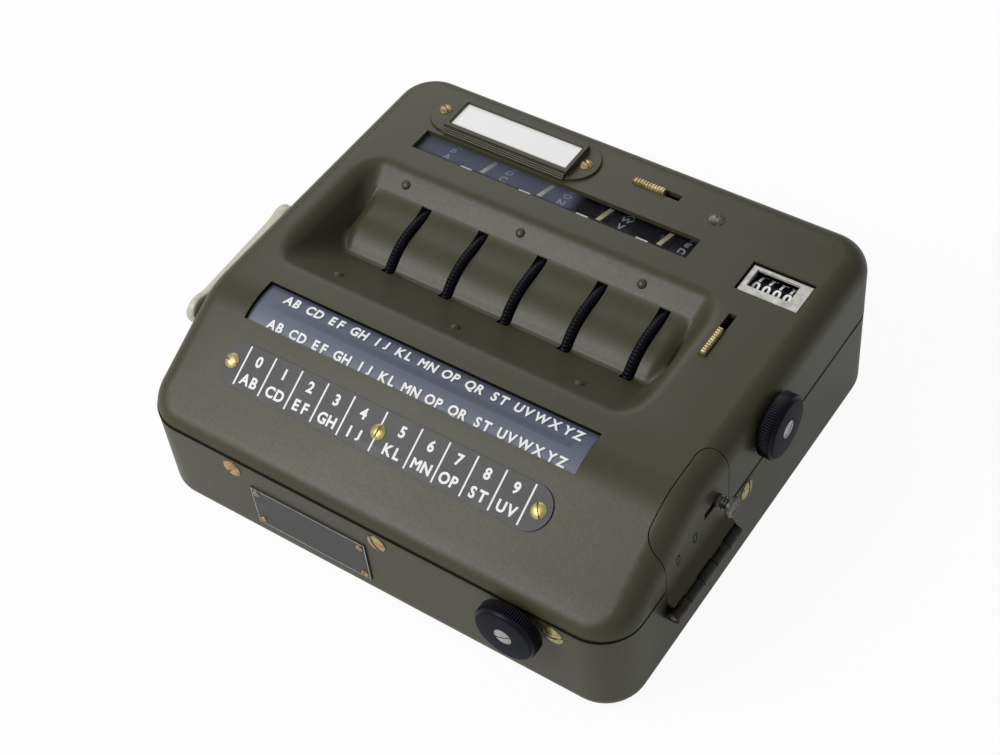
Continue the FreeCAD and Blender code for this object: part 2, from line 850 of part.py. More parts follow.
door_knuckles = [knuckle("door_knuckle_%d" % k, k) for k in (1, 3)]
clearances = [knuckle("knuckle_room_%d" % k, k, "knuckle_gap") for k in (0, 2, 4)]
hinge_bore = cylinder("hinge_bore", "hinge_pin_radius + running_clearance", "case_depth",
                      (HINGE_X, "-case_depth / 2", "hinge_height"), "Y")
door_skin = cut("door_skin", common("door_piece", outer_form, door_block), cover_inner)
LATCH_END = "(-latch_line - latch_travel)"
latch_slot = box("latch_slot", ("case_width / 2 - 3 * cover_wall",
                                LATCH_END + " - latch_stem_radius - latch_play",
                                "latch_height - latch_stem_radius - 0.15"),
                 ("case_width / 2 + cover_wall", "-latch_line + latch_stem_radius + latch_play",
                  "latch_height + latch_stem_radius + 0.15"))
part("card_door", cut("card_door_body", fuse("door_solid", door_skin, apron, *door_knuckles),
                      *clearances, hinge_bore, latch_slot))
case_knuckles = [knuckle("case_knuckle_%d" % k, k) for k in (0, 2, 4)]
webs = []
for k in (0, 2, 4):
    webs.append(box("hinge_web_%d" % k,
                    ("case_width / 2", KNUCKLES[k], "hinge_height - hinge_radius"),
                    (HINGE_X, KNUCKLES[k] + " + knuckle_length", "hinge_height - 0.2 * hinge_radius")))
pin_seat = cylinder("pin_seat", "hinge_pin_radius", "case_depth",
                    (HINGE_X, "-case_depth / 2", "hinge_height"), "Y")
part("hinge_lugs", cut("hinge_lug_body", fuse("hinge_lug_solid", *case_knuckles, *webs), pin_seat))
part("hinge_pin", cylinder("hinge_pin", "hinge_pin_radius", "5 * knuckle_length + 4 * knuckle_gap",
                           (HINGE_X, "-hinge_front", "hinge_height"), "Y"))
LATCH_FACE = "(case_width / 2 + latch_reach)"
LATCH_BACK = "(case_width / 2 - cover_wall - 0.2)"
latch_at = ("-latch_line", "latch_height")
part("latch_knob", fuse(
    "latch_body",
    cylinder("latch_stem", "latch_stem_radius", "%s - %s" % (LATCH_FACE, LATCH_BACK),
             (LATCH_BACK, *latch_at), "X"),
    cylinder("latch_head", "latch_head_radius", "latch_head_length",
             (LATCH_FACE + " - latch_head_length", *latch_at), "X"),
    cylinder("latch_collar", "latch_collar_radius", "1.2", ("case_width / 2 + 0.2", *latch_at), "X"),
    box("latch_bolt", (LATCH_BACK + " - 1.2", "-latch_line - latch_head_radius",
                       "latch_height - latch_head_radius"),
        (LATCH_BACK, "-latch_line + latch_head_radius", "latch_height + latch_head_radius"))))

# Knobs: a knurled rim, a flat face and a slotted screw; each turns a shaft in a bush.
knob_master = spun("knob_master", [
    ("0", "0"),
    ("0", "knob_radius - knob_bevel"),
    ("knob_bevel", "knob_radius"),
    ("knob_thickness - knob_bevel", "knob_radius"),
    ("knob_thickness", "knob_radius - knob_bevel"),
    ("knob_thickness", "0"),
], "H_Axis")


def knurl(body, radius, low, high, count):
    """Grooves round the rim of a body that was turned about X."""
    tooth = [
        ("-knurl_half", radius + " + 1"),
        ("-knurl_half", radius),
        ("0", radius + " - knurl_depth"),
        ("knurl_half", radius),
        ("knurl_half", radius + " + 1"),
    ]
    groove = pocket(body, sketch(body, "YZ_Plane", [tooth], high), "(%s) - (%s)" % (high, low))
    spread(body, groove, count)


knurl(knob_master, "knob_radius", "0", "knob_thickness", "knob_knurls")
centre_screw = screw("centre_screw", "knob_screw_radius", "knob_screw_rise", "1.5")


def knob(name, base, along, wall, gap, cuts):
    """A knob, its screw, shaft and bush. The base lies on the outside of the wall."""
    turn = FACING[along]
    local = Rotation(Vector(0, 0, 1), 0) if along == "X" else Rotation(Vector(0, 0, 1), -90)
    push = turn.multVec(Vector(0, 0, 1))

    def shifted(text):
        steps = ["%d * (%s)" % (round(step), text) for step in push]
        return tuple("%s + %s" % (b, step) for b, step in zip(base, steps))

    face = gap + " + knob_thickness"
    rim = copy(name + "_rim", knob_master, shifted(gap), local)
    seat = cylinder(name + "_seat", "shank_radius * knob_screw_radius / screw_radius", "1.5",
                    shifted(face + " - 1.5"), along)
    part(name, cut(name + "_body", rim, seat))
    part(name + "_screw", copy(name + "_screw_copy", centre_screw, shifted(face), turn))
    shaft = cylinder(name + "_axle", "knob_shaft_radius", gap + " + shaft_reach",
                     shifted("-shaft_reach"), along)
    part(name.replace("knob", "shaft"), shaft)
    start = shifted("-%s - bush_length" % wall)
    bush = cut(name + "_bush", cylinder(name + "_bush_blank", "bush_radius", "bush_length", start, along),
               cylinder(name + "_bush_bore", "knob_shaft_radius + running_clearance",
                        "bush_length", start, along))
    part(name.replace("knob", "bush"), bush)
    cuts.append(cylinder(name + "_hole", "knob_shaft_radius + 0.3", "4 * " + wall,
                         shifted("-2 * " + wall), along))


knob("front_knob", ("front_knob_line", FRONT, "front_knob_height"), "-Y", "tray_wall",
     "front_knob_gap", tray_cuts)
knob("side_knob", ("case_width / 2", "side_knob_line", "side_knob_height"), "X", "cover_wall",
     "side_knob_gap", cover_cuts)

# Operating lever on the left: a pad, an arm and a boss on a shaft.
LEVER_IN = "(-case_width / 2 - lever_gap)"
LEVER_OUT = "(-case_width / 2 - lever_gap - lever_thickness)"
lever_pieces = [
    cylinder("lever_boss", "lever_boss_radius", "lever_thickness",
             (LEVER_IN, "lever_line", "lever_height"), "-X"),
    cylinder("lever_pad", "lever_pad_radius", "lever_arm_thickness",
             (LEVER_IN, "lever_line - lever_reach", "lever_height"), "-X"),
    box("lever_arm", (LEVER_IN + " - lever_arm_thickness", "lever_line - lever_reach",
                      "lever_height - lever_arm_half"),
        (LEVER_IN, "lever_line", "lever_height + lever_arm_half")),
]
lever_bore = cylinder("lever_bore", "lever_shaft_radius", "case_width / 4",
                      (LEVER_IN, "lever_line", "lever_height"), "-X")
part("operating_lever", cut("lever_body", fuse("lever_solid", *lever_pieces), lever_bore))
part("lever_shaft", cylinder("lever_shaft", "lever_shaft_radius",
                             "lever_thickness + lever_gap + cover_wall + shaft_reach",
                             (LEVER_OUT, "lever_line", "lever_height"), "X"))
lever_bush_at = ("-case_width / 2 + cover_wall", "lever_line", "lever_height")
LEVER_BUSH = "case_width / 2 - cover_wall - left_plate_face - hub_gap"
part("lever_bush", cut("lever_bush_body",
                       cylinder("lever_bush_blank", "bush_radius", LEVER_BUSH, lever_bush_at, "X"),
                       cylinder("lever_bush_bore", "lever_shaft_radius + running_clearance",
                                LEVER_BUSH, lever_bush_at, "X")))
cover_cuts.append(cylinder("lever_hole", "lever_shaft_radius + 0.3", "4 * cover_wall",
                           ("-case_width / 2 - cover_wall", "lever_line", "lever_height"), "X"))

# Sliders on the top: a knurled bar, a neck in the slot and a foot below the sheet.
SHEET_FOOT = "(case_height - cover_wall - slider_gap)"


def slider(name, low, high, across):
    """A slider whose bar runs from low to high; across tells which way it is turned."""
    def span(width, foot, head):
        half = width + " / 2"
        if across:
            middle = "slider_across_line"
            return ((low, middle + " - " + half, foot), (high, middle + " + " + half, head))
        middle = "slider_along_line"
        return ((middle + " - " + half, low, foot), (middle + " + " + half, high, head))

    bar = box(name + "_bar", *span("slider_knob_width", "case_height + slider_gap",
                                   "case_height + slider_gap + slider_knob_rise"))
    neck = box(name + "_neck", *span("(slider_slot_width - 2 * slider_gap)", SHEET_FOOT + " - 0.1",
                                     "case_height + slider_gap + 0.1"))
    foot = box(name + "_foot", *span("slider_foot_width", SHEET_FOOT + " - slider_foot_thickness",
                                     SHEET_FOOT))
    part(name, fuse(name + "_body", bar, neck, foot))


slider("slider_across", "slider_across_left + slider_gap",
       "slider_across_left + slider_gap + slider_knob_length", True)
slider("slider_along", "slider_along_front + slider_gap",
       "slider_along_front + slider_gap + slider_knob_length", False)

# Label: a plate with round ends, a raised frame on it and a card in the frame.
PLATE_TOP = "(case_height + label_step)"
FRAME_TOP = "(%s + 1.9)" % PLATE_TOP


def long_plate(name, left, right, half, thickness, base=("0", "0", "0"), tilt=None):
    """A plate with round ends, lying along X on base."""
    ends = [cylinder("%s_end_%d" % (name, k), half, thickness, (x, "0", "0"))
            for k, x in enumerate(["-%s + %s" % (left, half), "%s - %s" % (right, half)])]
    middle = box(name + "_middle", ("-%s + %s" % (left, half), "-" + half, "0"),
                 ("%s - %s" % (right, half), half, thickness))
    return copy(name, fuse(name + "_flat", *ends, middle), base, tilt=tilt)


label_plate = long_plate("label_plate", "label_left", "(-label_right)", "label_half", "label_step",
                         ("0", "label_line", TOP))
rim_low = ("-label_frame_left", "label_frame_front", "case_height + label_step / 2")
rim_high = ("-label_frame_right", "label_frame_rear", FRAME_TOP)
recess = box("label_recess",
             ("-label_frame_left + label_border", "label_frame_front + label_border", PLATE_TOP),
             ("-label_frame_right - label_border", "label_frame_rear - label_border",
              FRAME_TOP + " + 1"))
label_cuts = []
label_screws = fasteners("label_screw", small_master, "small_screw_radius", [
    ("-label_screw_left", "label_line", PLATE_TOP),
    ("-label_screw_right", "label_line", PLATE_TOP),
], label_cuts)
part("label_screws", group("label_screw_group", *label_screws))
cover_cuts += label_cuts
part("label_frame", cut("label_frame_body",
                        fuse("label_solid", label_plate, box("label_rim", rim_low, rim_high)),
                        recess, *label_cuts))
part("label_card", box("label_card",
                       ("-label_frame_left + label_border", "label_frame_front + label_border",
                        PLATE_TOP),
                       ("-label_frame_right - label_border", "label_frame_rear - label_border",
                        PLATE_TOP + " + 1")))

# Strip of digits and letter pairs on the slope.
SLOPE_Z = "(case_height - (strip_middle - bend_line) * tan(slope_angle))"
strip_plate = long_plate("strip_plate", "strip_left", "strip_right", "strip_half", "strip_thickness",
                         ("0", "-strip_middle", SLOPE_Z), "slope_angle")
STRIP_LIFT = ("-strip_middle - strip_thickness * sin(slope_angle)",
              SLOPE_Z + " + strip_thickness * cos(slope_angle)")
strip_cuts = []
strip_screws = fasteners("strip_screw", small_master, "small_screw_radius", [
    ("-strip_screw_left", *STRIP_LIFT),
    ("-strip_screw_middle", *STRIP_LIFT),
    ("strip_screw_right", *STRIP_LIFT),
], strip_cuts, tilt="slope_angle")
part("strip_screws", group("strip_screw_group", *strip_screws))
cover_cuts += strip_cuts
part("code_strip", cut("code_strip_body", strip_plate, *strip_cuts))

# Panes: a curved one on the bend over a plate of letters, a flat one over the drums.
display_room = box("display_room",
                   ("-display_left + pane_gap", "-display_front + pane_gap", "seam_height"),
                   ("display_right - pane_gap", "-display_rear - pane_gap", OVER_TOP))
part("display_window", cut("display_window_body",
                           common("display_piece", lip_form, display_room), cover_inner))
plate_room = box("plate_room",
                 ("-display_left - pane_border", "-display_front - pane_border", "seam_height"),
                 ("display_right + pane_border", "-display_rear + pane_border", OVER_TOP))
channel = box("channel", ("-channel_left", "-channel_front", "case_height - 2 * cover_wall"),
              ("channel_right", "-channel_rear", OVER_TOP))
part("letter_plate", cut("letter_plate_body",
                         common("letter_plate_piece", cover_inner, plate_room), plate_inner, channel))
UNDER = "(case_height - cover_wall)"
part("letter_window", box("letter_window",
                          ("-window_left - pane_border", "window_front - pane_border",
                           UNDER + " - pane_thickness"),
                          ("window_right + pane_border", "window_rear + pane_border", UNDER)))
BAR_TOP = "(%s - pane_thickness)" % UNDER
part("reading_bar", box("reading_bar",
                        ("-window_left - pane_border", "mark_bar_front",
                         BAR_TOP + " - mark_bar_thickness"),
                        ("window_right + pane_border", "mark_bar_rear", BAR_TOP)))
divider_master = box("divider_master", ("-divider_half", "0", "-divider_thickness"),
                     ("divider_half", "divider_length", "0"))
part("dividers", group("divider_group", *[
    copy("divider_%d" % k, divider_master,
         (middle + " + divider_shift", "mark_bar_rear + divider_gap", BAR_TOP + " - divider_gap"),
         tilt="-divider_slant")
    for k, middle in enumerate(RING_PLACES[:4], start=1)]))

# Counter: a bezel that hangs in the cover by its flange and holds four number wheels.
COUNTER_TOP = "(case_height - counter_sunk)"
COUNTER_FOOT = "(%s - counter_depth)" % COUNTER_TOP
bezel = box("bezel", ("counter_left + counter_gap", "counter_front + counter_gap", COUNTER_FOOT),
            ("counter_right - counter_gap", "counter_rear - counter_gap", COUNTER_TOP))
flange = common("flange", cover_inner, box(
    "flange_block",
    ("counter_left - counter_flange", "counter_front - counter_flange",
     UNDER + " - counter_flange_thickness"),
    ("counter_right + counter_flange", "counter_rear + counter_flange", UNDER)))
cavity = box("cavity", ("counter_left + counter_gap + counter_wall",
                        "number_axle_line - number_wheel_radius - 0.3",
                        COUNTER_FOOT + " + counter_wall"),
             ("counter_window_right + 0.4", "number_axle_line + number_wheel_radius + 0.3",
              COUNTER_TOP + " - counter_wall"))
view = box("view", ("counter_window_left", "counter_window_front", UNDER_TOP),
           ("counter_window_right", "counter_window_rear", OVER_TOP))
AXLE_Z = "(%s - number_axle_depth)" % COUNTER_TOP
counter_seat = cylinder("counter_seat", "number_axle_radius", "counter_right - counter_left - 2",
                        ("counter_left + 1", "number_axle_line", AXLE_Z), "X")
part("counter_frame", cut("counter_frame_body", fuse("counter_solid", bezel, flange),
                          cavity, view, counter_seat))
part("counter_axle", cylinder("counter_axle", "number_axle_radius", "counter_right - counter_left - 2",
                              ("counter_left + 1", "number_axle_line", AXLE_Z), "X"))
number_master = cut("number_master",
                    cylinder("number_blank", "number_wheel_radius", "number_wheel_width",
                             ("0", "0", "0"), "X"),
                    cylinder("number_bore", "number_axle_radius + running_clearance",
                             "number_wheel_width", ("0", "0", "0"), "X"))
for k in range(4):
    part("number_wheel_%d" % (k + 1), copy(
        "number_wheel_copy_%d" % k, number_master,
        ("counter_window_left + 0.1 + %d * number_wheel_pitch" % k, "number_axle_line", AXLE_Z)))

# Key wheels and letter drums: equal gears, so a drum turns once for each turn of its wheel.
AXLE_GAP = "sqrt((drum_line - axle_line) ^ 2 + (drum_height - axle_height) ^ 2)"
PITCH_RADIUS = "(%s / 2)" % AXLE_GAP
MESH = "atan((drum_height - axle_height) / (drum_line - axle_line))"


def gear(name):
    """A toothed disc about X, with one tooth along Y."""
    body = new_body(name)
    low = "gear_shift - gear_width / 2"
    root = PITCH_RADIUS + " - tooth_root"
    pad(body, sketch(body, "YZ_Plane", [("circle", ("0", "0"), root)], low), "gear_width")
    tip = PITCH_RADIUS + " + tooth_tip"
    tooth = [
        (root + " - 1", "-1.2 * tooth_half"),
        (tip, "-0.7 * tooth_half"),
        (tip, "0.7 * tooth_half"),
        (root + " - 1", "1.2 * tooth_half"),
    ]
    raised = pad(body, sketch(body, "YZ_Plane", [tooth], low), "gear_width")
    spread(body, raised, "gear_teeth")
    return body


HUB_START = "(-ring_pitch / 2 + hub_gap / 2)"
HUB_LENGTH = "(ring_pitch - hub_gap)"
WEB_RADIUS = "(ring_radius - ring_band)"
wheel_gear = copy("wheel_gear_turned", gear("wheel_gear"), ("0", "0", "0"), tilt=MESH)
drum_gear = copy("drum_gear_turned", gear("drum_gear"), ("0", "0", "0"),
                 tilt="%s + (180 + 180 / gear_teeth) * 1 deg" % MESH)
wheel_master = cut("wheel_master", fuse(
    "wheel_solid",
    cylinder("wheel_hub", "hub_radius", HUB_LENGTH, (HUB_START, "0", "0"), "X"),
    cylinder("wheel_web", WEB_RADIUS, "web_width", ("-web_width / 2", "0", "0"), "X"),
    wheel_gear,
), cylinder("wheel_bore", "axle_radius + running_clearance", "2 * ring_pitch",
            ("-ring_pitch", "0", "0"), "X"))
ring_master = spun("ring_master", [
    ("-ring_width / 2", WEB_RADIUS),
    ("ring_width / 2", WEB_RADIUS),
    ("ring_width / 2", "ring_radius - knurl_depth"),
    ("ring_width / 2 - knurl_depth", "ring_radius"),
    ("-ring_width / 2 + knurl_depth", "ring_radius"),
    ("-ring_width / 2", "ring_radius - knurl_depth"),
], "H_Axis")
knurl(ring_master, "ring_radius", "-ring_width / 2", "ring_width / 2", "ring_knurls")
DRUM_START = "(-drum_shift - drum_width / 2)"
drum_shell = cut("drum_shell",
                 cylinder("drum_blank", "drum_radius", "drum_width", (DRUM_START, "0", "0"), "X"),
                 cylinder("drum_hollow", "drum_radius - drum_rim", "drum_width - drum_rim",
                          (DRUM_START, "0", "0"), "X"))
drum_master = cut("drum_master", fuse(
    "drum_solid", drum_shell,
    cylinder("drum_hub", "drum_hub_radius", HUB_LENGTH, (HUB_START, "0", "0"), "X"),
    drum_gear,
), cylinder("drum_bore", "drum_axle_radius + running_clearance", "2 * ring_pitch",
            ("-ring_pitch", "0", "0"), "X"))
for k, middle in enumerate(RING_PLACES, start=1):
    on_axle = (middle, "axle_line", "axle_height")
    part("key_wheel_%d" % k, copy("key_wheel_copy_%d" % k, wheel_master, on_axle))
    part("thumb_ring_%d" % k, copy("thumb_ring_copy_%d" % k, ring_master, on_axle))
    part("letter_drum_%d" % k, copy("letter_drum_copy_%d" % k, drum_master,
                                    (middle, "drum_line", "drum_height")))

# Axles in two side plates. Collars keep the wheels from sliding along.
LEFT_IN = "(-left_plate_face + plate_thickness)"
FIRST_END = "(-first_ring - ring_pitch / 2 - hub_gap / 2)"
LAST_END = "(-first_ring + 4.5 * ring_pitch + hub_gap / 2)"


def axle(name, radius, collar, line, height):
    """A stepped axle between the outsides of the side plates."""
    outline = [
        ("-left_plate_face", "0"),
        ("right_plate_face + plate_thickness", "0"),
        ("right_plate_face + plate_thickness", radius),
        ("right_plate_face", radius),
        ("right_plate_face", collar),
        (LAST_END, collar),
        (LAST_END, radius),
        (FIRST_END, radius),
        (FIRST_END, collar),
        (LEFT_IN, collar),
        (LEFT_IN, radius),
        ("-left_plate_face", radius),
    ]
    return place(spun(name, outline, "H_Axis"), ("0", line, height))


part("wheel_axle", axle("wheel_axle", "axle_radius", "hub_radius", "axle_line", "axle_height"))
part("drum_axle", axle("drum_axle", "drum_axle_radius", "drum_hub_radius", "drum_line", "drum_height"))
for name, start in (("left_plate", "-left_plate_face"), ("right_plate", "right_plate_face")):
    plate = box(name + "_blank", (start, "-2 * rod_radius", FLOOR),
                (start + " + plate_thickness", "drum_line + 4 * rod_radius",
                 "drum_height + 2 * rod_radius"))
    holes = [
        cylinder(name + "_wheel_hole", "axle_radius", "plate_thickness",
                 (start, "axle_line", "axle_height"), "X"),
        cylinder(name + "_drum_hole", "drum_axle_radius", "plate_thickness",
                 (start, "drum_line", "drum_height"), "X"),
    ]
    part(name, cut(name + "_body", plate, *holes))

# Cover and tray, with everything cut that was listed above.
doc.recompute()
part("top_cover", cut("top_cover_body", shell_round, *cover_cuts))
below_seam = box("below_seam", ("-" + FAR, "-" + FAR, "-case_height"), (FAR, FAR, SEAM_FOOT))
lip_band = box("lip_band", ("-" + FAR, "-" + FAR, SEAM_FOOT + " - 0.5"), (FAR, FAR, SEAM_TOP))
tray_block = fuse("tray_block", common("tray_below", outer_form, below_seam),
                  common("tray_lip", lip_form, lip_band))
part("base_tray", cut("base_tray_body", tray_block, tray_inner, *tray_cuts))
doc.recompute()

faulty = [o.Label for o in doc.Objects if "Invalid" in o.State or "Error" in o.State]
if faulty:
    raise ValueError("objects in error: " + ", ".join(faulty))
os.makedirs("parts", exist_ok=True)
for item in parts:
    if item.Shape.isNull() or not item.Shape.isValid():
        raise ValueError("shape at fault: " + item.Label)
    item.Shape.exportStep("parts/%s.step" % item.Label)
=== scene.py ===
import math

import bmesh
import bpy
import numpy as np
from mathutils import Matrix, Quaternion, Vector


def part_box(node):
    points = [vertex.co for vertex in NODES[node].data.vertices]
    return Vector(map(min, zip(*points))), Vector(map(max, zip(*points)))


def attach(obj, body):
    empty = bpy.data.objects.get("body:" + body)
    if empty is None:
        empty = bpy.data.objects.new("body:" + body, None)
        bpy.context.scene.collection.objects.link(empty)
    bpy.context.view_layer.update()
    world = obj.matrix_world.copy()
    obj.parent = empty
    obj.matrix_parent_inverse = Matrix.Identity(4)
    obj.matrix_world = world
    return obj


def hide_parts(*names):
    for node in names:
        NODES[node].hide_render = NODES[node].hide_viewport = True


bl_info = {
    "name": "Rotor Cipher Machine",
    "version": (1, 0, 0),
    "blender": (4, 5, 0),
    "location": "View3D > Sidebar > Cipher Machine",
    "description": "Dresses the rotor cipher machine with paint, lettering and turned pieces",
    "category": "Object",
}

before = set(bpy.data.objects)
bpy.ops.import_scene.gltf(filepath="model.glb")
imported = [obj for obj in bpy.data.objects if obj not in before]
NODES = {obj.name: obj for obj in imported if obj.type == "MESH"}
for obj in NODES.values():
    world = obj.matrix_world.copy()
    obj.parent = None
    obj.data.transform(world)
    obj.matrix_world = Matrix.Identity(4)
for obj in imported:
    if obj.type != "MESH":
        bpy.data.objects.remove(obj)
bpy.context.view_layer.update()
MM = 0.001

# All lengths below are millimetres. Outer faces of the case: right side, front and flat top.
SIDE = 80.0
FRONT = -71.75
TOP = 55.5
# The bend from the top to the slope: its radius, the slope's angle and the y where it starts.
BEND = 24.5
SLOPE = math.radians(28.5)
BEND_START = -35.3 + BEND * math.tan(SLOPE / 2)
# Axles of the thumb rings and of the letter drums, as (y, z), and the rings' places along X.
AXLE = (16.3, 30.1)
DRUM_AXLE = (42.5, 35.8)
RINGS = [-44.0 + 20.45 * k for k in range(5)]
# The trough's edges at the top, the fall of its floor from them and the lean of its end walls.
TROUGH_X = (-68.0, 51.5)
TROUGH_Y = (-19.0, 30.0)
FRONT_FALL = 13.27 / 21.6
LEDGE_FALL = 5.2 / 6.8
WALL_LEAN = math.radians(24)
# The barrel's radius, the rounding of its ends and the gap between its ends and the trough's.
BARREL = 18.3
BARREL_ROUNDING = 4.0
BARREL_GAP = 5.0

ALPHABET = "ABCDEFGHIJKLMNOPQRSTUVWXYZ"
PAIRS = [ALPHABET[k:k + 2] for k in range(0, 26, 2)]
STRIP_PAIRS = PAIRS[:8] + PAIRS[9:11]
STRIP_LINES = [-55.1, -46.3, -37.0, -27.9, -18.8, -7.8, 3.9, 13.0, 22.1, 31.2, 40.4]

# Angles in degrees past which an edge stays sharp, for cut sheet, turned and moulded pieces.
SHEET_CREASE = 32
TURNED_CREASE = 40
MOULDED_CREASE = 50


class MachinePaint(bpy.types.PropertyGroup):
    """Colours of the painted and turned surfaces."""

    olive: bpy.props.FloatVectorProperty(
        name="Olive", description="Paint of the case", subtype="COLOR",
        size=3, default=(0.057, 0.0535, 0.0275), min=0, max=1)
    dark: bpy.props.FloatVectorProperty(
        name="Dark plate", description="Paint under the white lettering", subtype="COLOR",
        size=3, default=(0.036, 0.032, 0.035), min=0, max=1)
    black: bpy.props.FloatVectorProperty(
        name="Black", description="Knobs, rings and drums", subtype="COLOR",
        size=3, default=(0.004, 0.004, 0.008), min=0, max=1)
    brass: bpy.props.FloatVectorProperty(
        name="Brass", description="Screws, hinge pin and the slider beside the trough",
        subtype="COLOR", size=3, default=(0.66, 0.49, 0.24), min=0, max=1)
    cream: bpy.props.FloatVectorProperty(
        name="Cream", description="Lever", subtype="COLOR",
        size=3, default=(0.60, 0.57, 0.46), min=0, max=1)
    pane: bpy.props.FloatVectorProperty(
        name="Pane", description="Letter plate under the curved pane", subtype="COLOR",
        size=3, default=(0.13, 0.145, 0.19), min=0, max=1)


class MachineSizes(bpy.types.PropertyGroup):
    """Sizes of the fine detail."""

    letter_height: bpy.props.FloatProperty(
        name="Letter height", description="Capitals in the curved window", unit="LENGTH",
        default=3.0 * MM, min=1 * MM, max=6 * MM)
    strip_height: bpy.props.FloatProperty(
        name="Strip letter height", description="Characters on the strip", unit="LENGTH",
        default=3.2 * MM, min=1 * MM, max=6 * MM)
    edge: bpy.props.FloatProperty(
        name="Edge softening", description="Rounding of the sheet's cut edges", unit="LENGTH",
        default=0.22 * MM, min=0, max=1 * MM)
    ridges: bpy.props.IntProperty(
        name="Ring ridges", description="Ridges round a thumb ring", default=110, min=20, max=200)
    knob_teeth: bpy.props.IntProperty(
        name="Knob ridges", description="Ridges round a knob", default=80, min=20, max=120)


class MachineStage(bpy.types.PropertyGroup):
    """Floor, lights and camera."""

    key_power: bpy.props.FloatProperty(
        name="Key light", description="Strength of the large lamp", unit="POWER",
        default=9.0, min=0, max=50)
    fill_power: bpy.props.FloatProperty(
        name="Fill light", description="Strength of the low lamp", unit="POWER",
        default=1.4, min=0, max=50)
    world: bpy.props.FloatProperty(
        name="Surround", description="Strength of the even light", default=0.28, min=0, max=2)


def paint():
    return bpy.context.scene.machine_paint


def sizes():
    return bpy.context.scene.machine_sizes


# Shader maths.
def add_node(tree, kind, settings=None, inputs=None, output=0):
    """Adds a shader node, sets its settings first and then its inputs."""
    node = tree.nodes.new("ShaderNode" + kind)
    for key, value in (settings or {}).items():
        setattr(node, key, value)
    for key, value in (inputs or {}).items():
        if isinstance(value, Wire):
            tree.links.new(value.socket, node.inputs[key])
        else:
            node.inputs[key].default_value = value
    return Wire(tree, node.outputs[output])


class Wire:
    """A shader socket. Sums and products with it add Math nodes."""

    def __init__(self, tree, socket):
        self.tree = tree
        self.socket = socket

    def math(self, operation, first, second):
        return add_node(self.tree, "Math", {"operation": operation}, {0: first, 1: second})

    def __add__(self, other):
        return self.math("ADD", self, other)

    def __radd__(self, other):
        return self.math("ADD", other, self)

    def __sub__(self, other):
        return self.math("SUBTRACT", self, other)

    def __rsub__(self, other):
        return self.math("SUBTRACT", other, self)

    def __mul__(self, other):
        return self.math("MULTIPLY", self, other)

    def __rmul__(self, other):
        return self.math("MULTIPLY", other, self)

    def above(self, level, width):
        """0 below the level and 1 above it, with a ramp of the given width."""
        ramp = (self - (level - width / 2)) * (1 / width)
        return self.math("MINIMUM", self.math("MAXIMUM", ramp, 0.0), 1.0)


class Finish:
    """A node material with a Principled shader."""

    def __init__(self, name, specular=0.5, **constants):
        constants["Specular_IOR_Level"] = specular
        self.material = bpy.data.materials.new(name)
        self.material.use_nodes = True
        self.tree = self.material.node_tree
        self.shader = self.tree.nodes["Principled BSDF"]
        for socket, value in constants.items():
            self.shader.inputs[socket.replace("_", " ")].default_value = value

    def node(self, kind, settings=None, inputs=None, output=0):
        return add_node(self.tree, kind, settings, inputs, output)

    def place(self, stretch=(1, 1, 1)):
        """Object coordinates, multiplied by stretch."""
        coordinates = self.node("TexCoord", output="Object")
        return self.node("Mapping", None, {"Vector": coordinates, "Scale": stretch})

    def split(self, axis):
        """One of the object coordinates, in metres."""
        return self.node("SeparateXYZ", None, {0: self.place()}, axis)

    def noise(self, scale, detail=2.0, roughness=0.5, stretch=(1, 1, 1)):
        return self.node("TexNoise", None, {
            "Vector": self.place(stretch), "Scale": scale, "Detail": detail,
            "Roughness": roughness})

    def cells(self, scale):
        """Distance from the middles of scattered cells."""
        return self.node("TexVoronoi", None, {"Vector": self.place(), "Scale": scale})

    def mix(self, factor, first, second):
        """A colour between two colours."""
        first, second = (colour if isinstance(colour, Wire) else (*colour, 1)
                         for colour in (first, second))
        return self.node("Mix", {"data_type": "RGBA"}, {0: factor, 6: first, 7: second}, 2)

    def bump(self, height, strength, distance):
        return self.node("Bump", None, {
            "Height": height, "Strength": strength, "Distance": distance})

    def feed(self, **wires):
        for socket, wire in wires.items():
            self.tree.links.new(wire.socket, self.shader.inputs[socket.replace("_", " ")])
        return self.material


def scaled(colour, factor):
    """A colour made lighter or darker."""
    return tuple(min(1.0, channel * factor) for channel in colour)


finishes = {}


def finish(name):
    """The material of that name, made on its first use."""
    if name not in finishes:
        finishes[name] = MAKERS[name](name)
    return finishes[name]


def olive_paint(name):
    """Semi-matt sprayed paint: faint mottling, fine orange peel, dust specks and rubbed spots."""
    f = Finish(name, specular=0.38)
    base = tuple(paint().olive)
    mottle = f.noise(24, 3, 0.6)
    fine = f.noise(900, 2, 0.6)
    specks = f.cells(95).above(0.035, 0.02)
    rubbed = f.noise(60, 5, 0.75).above(0.73, 0.08)
    colour = f.mix(mottle, scaled(base, 0.86), scaled(base, 1.12))
    colour = f.mix(rubbed * 0.35, colour, scaled(base, 1.9))
    colour = f.mix((1 - specks) * 0.4, colour, scaled(base, 2.4))
    rough = 0.32 + mottle * 0.1 + fine * 0.1
    return f.feed(Base_Color=colour, Roughness=rough,
                  Normal=f.bump(fine + mottle * 0.5, 0.22, 0.00012))


def dark_plate(name):
    """Satin dark paint on the lettered plates, with fine scratches along X."""
    f = Finish(name, specular=0.4)
    base = tuple(paint().dark)
    cloud = f.noise(120, 4, 0.6)
    scratch = f.noise(260, 2, 0.5, (0.12, 1, 1)).above(0.68, 0.06)
    colour = f.mix(cloud, scaled(base, 0.7), scaled(base, 1.35))
    colour = f.mix(scratch * 0.25, colour, scaled(base, 3.5))
    return f.feed(Base_Color=colour, Roughness=0.33 + cloud * 0.16,
                  Normal=f.bump(f.noise(1200), 0.12, 0.0001))


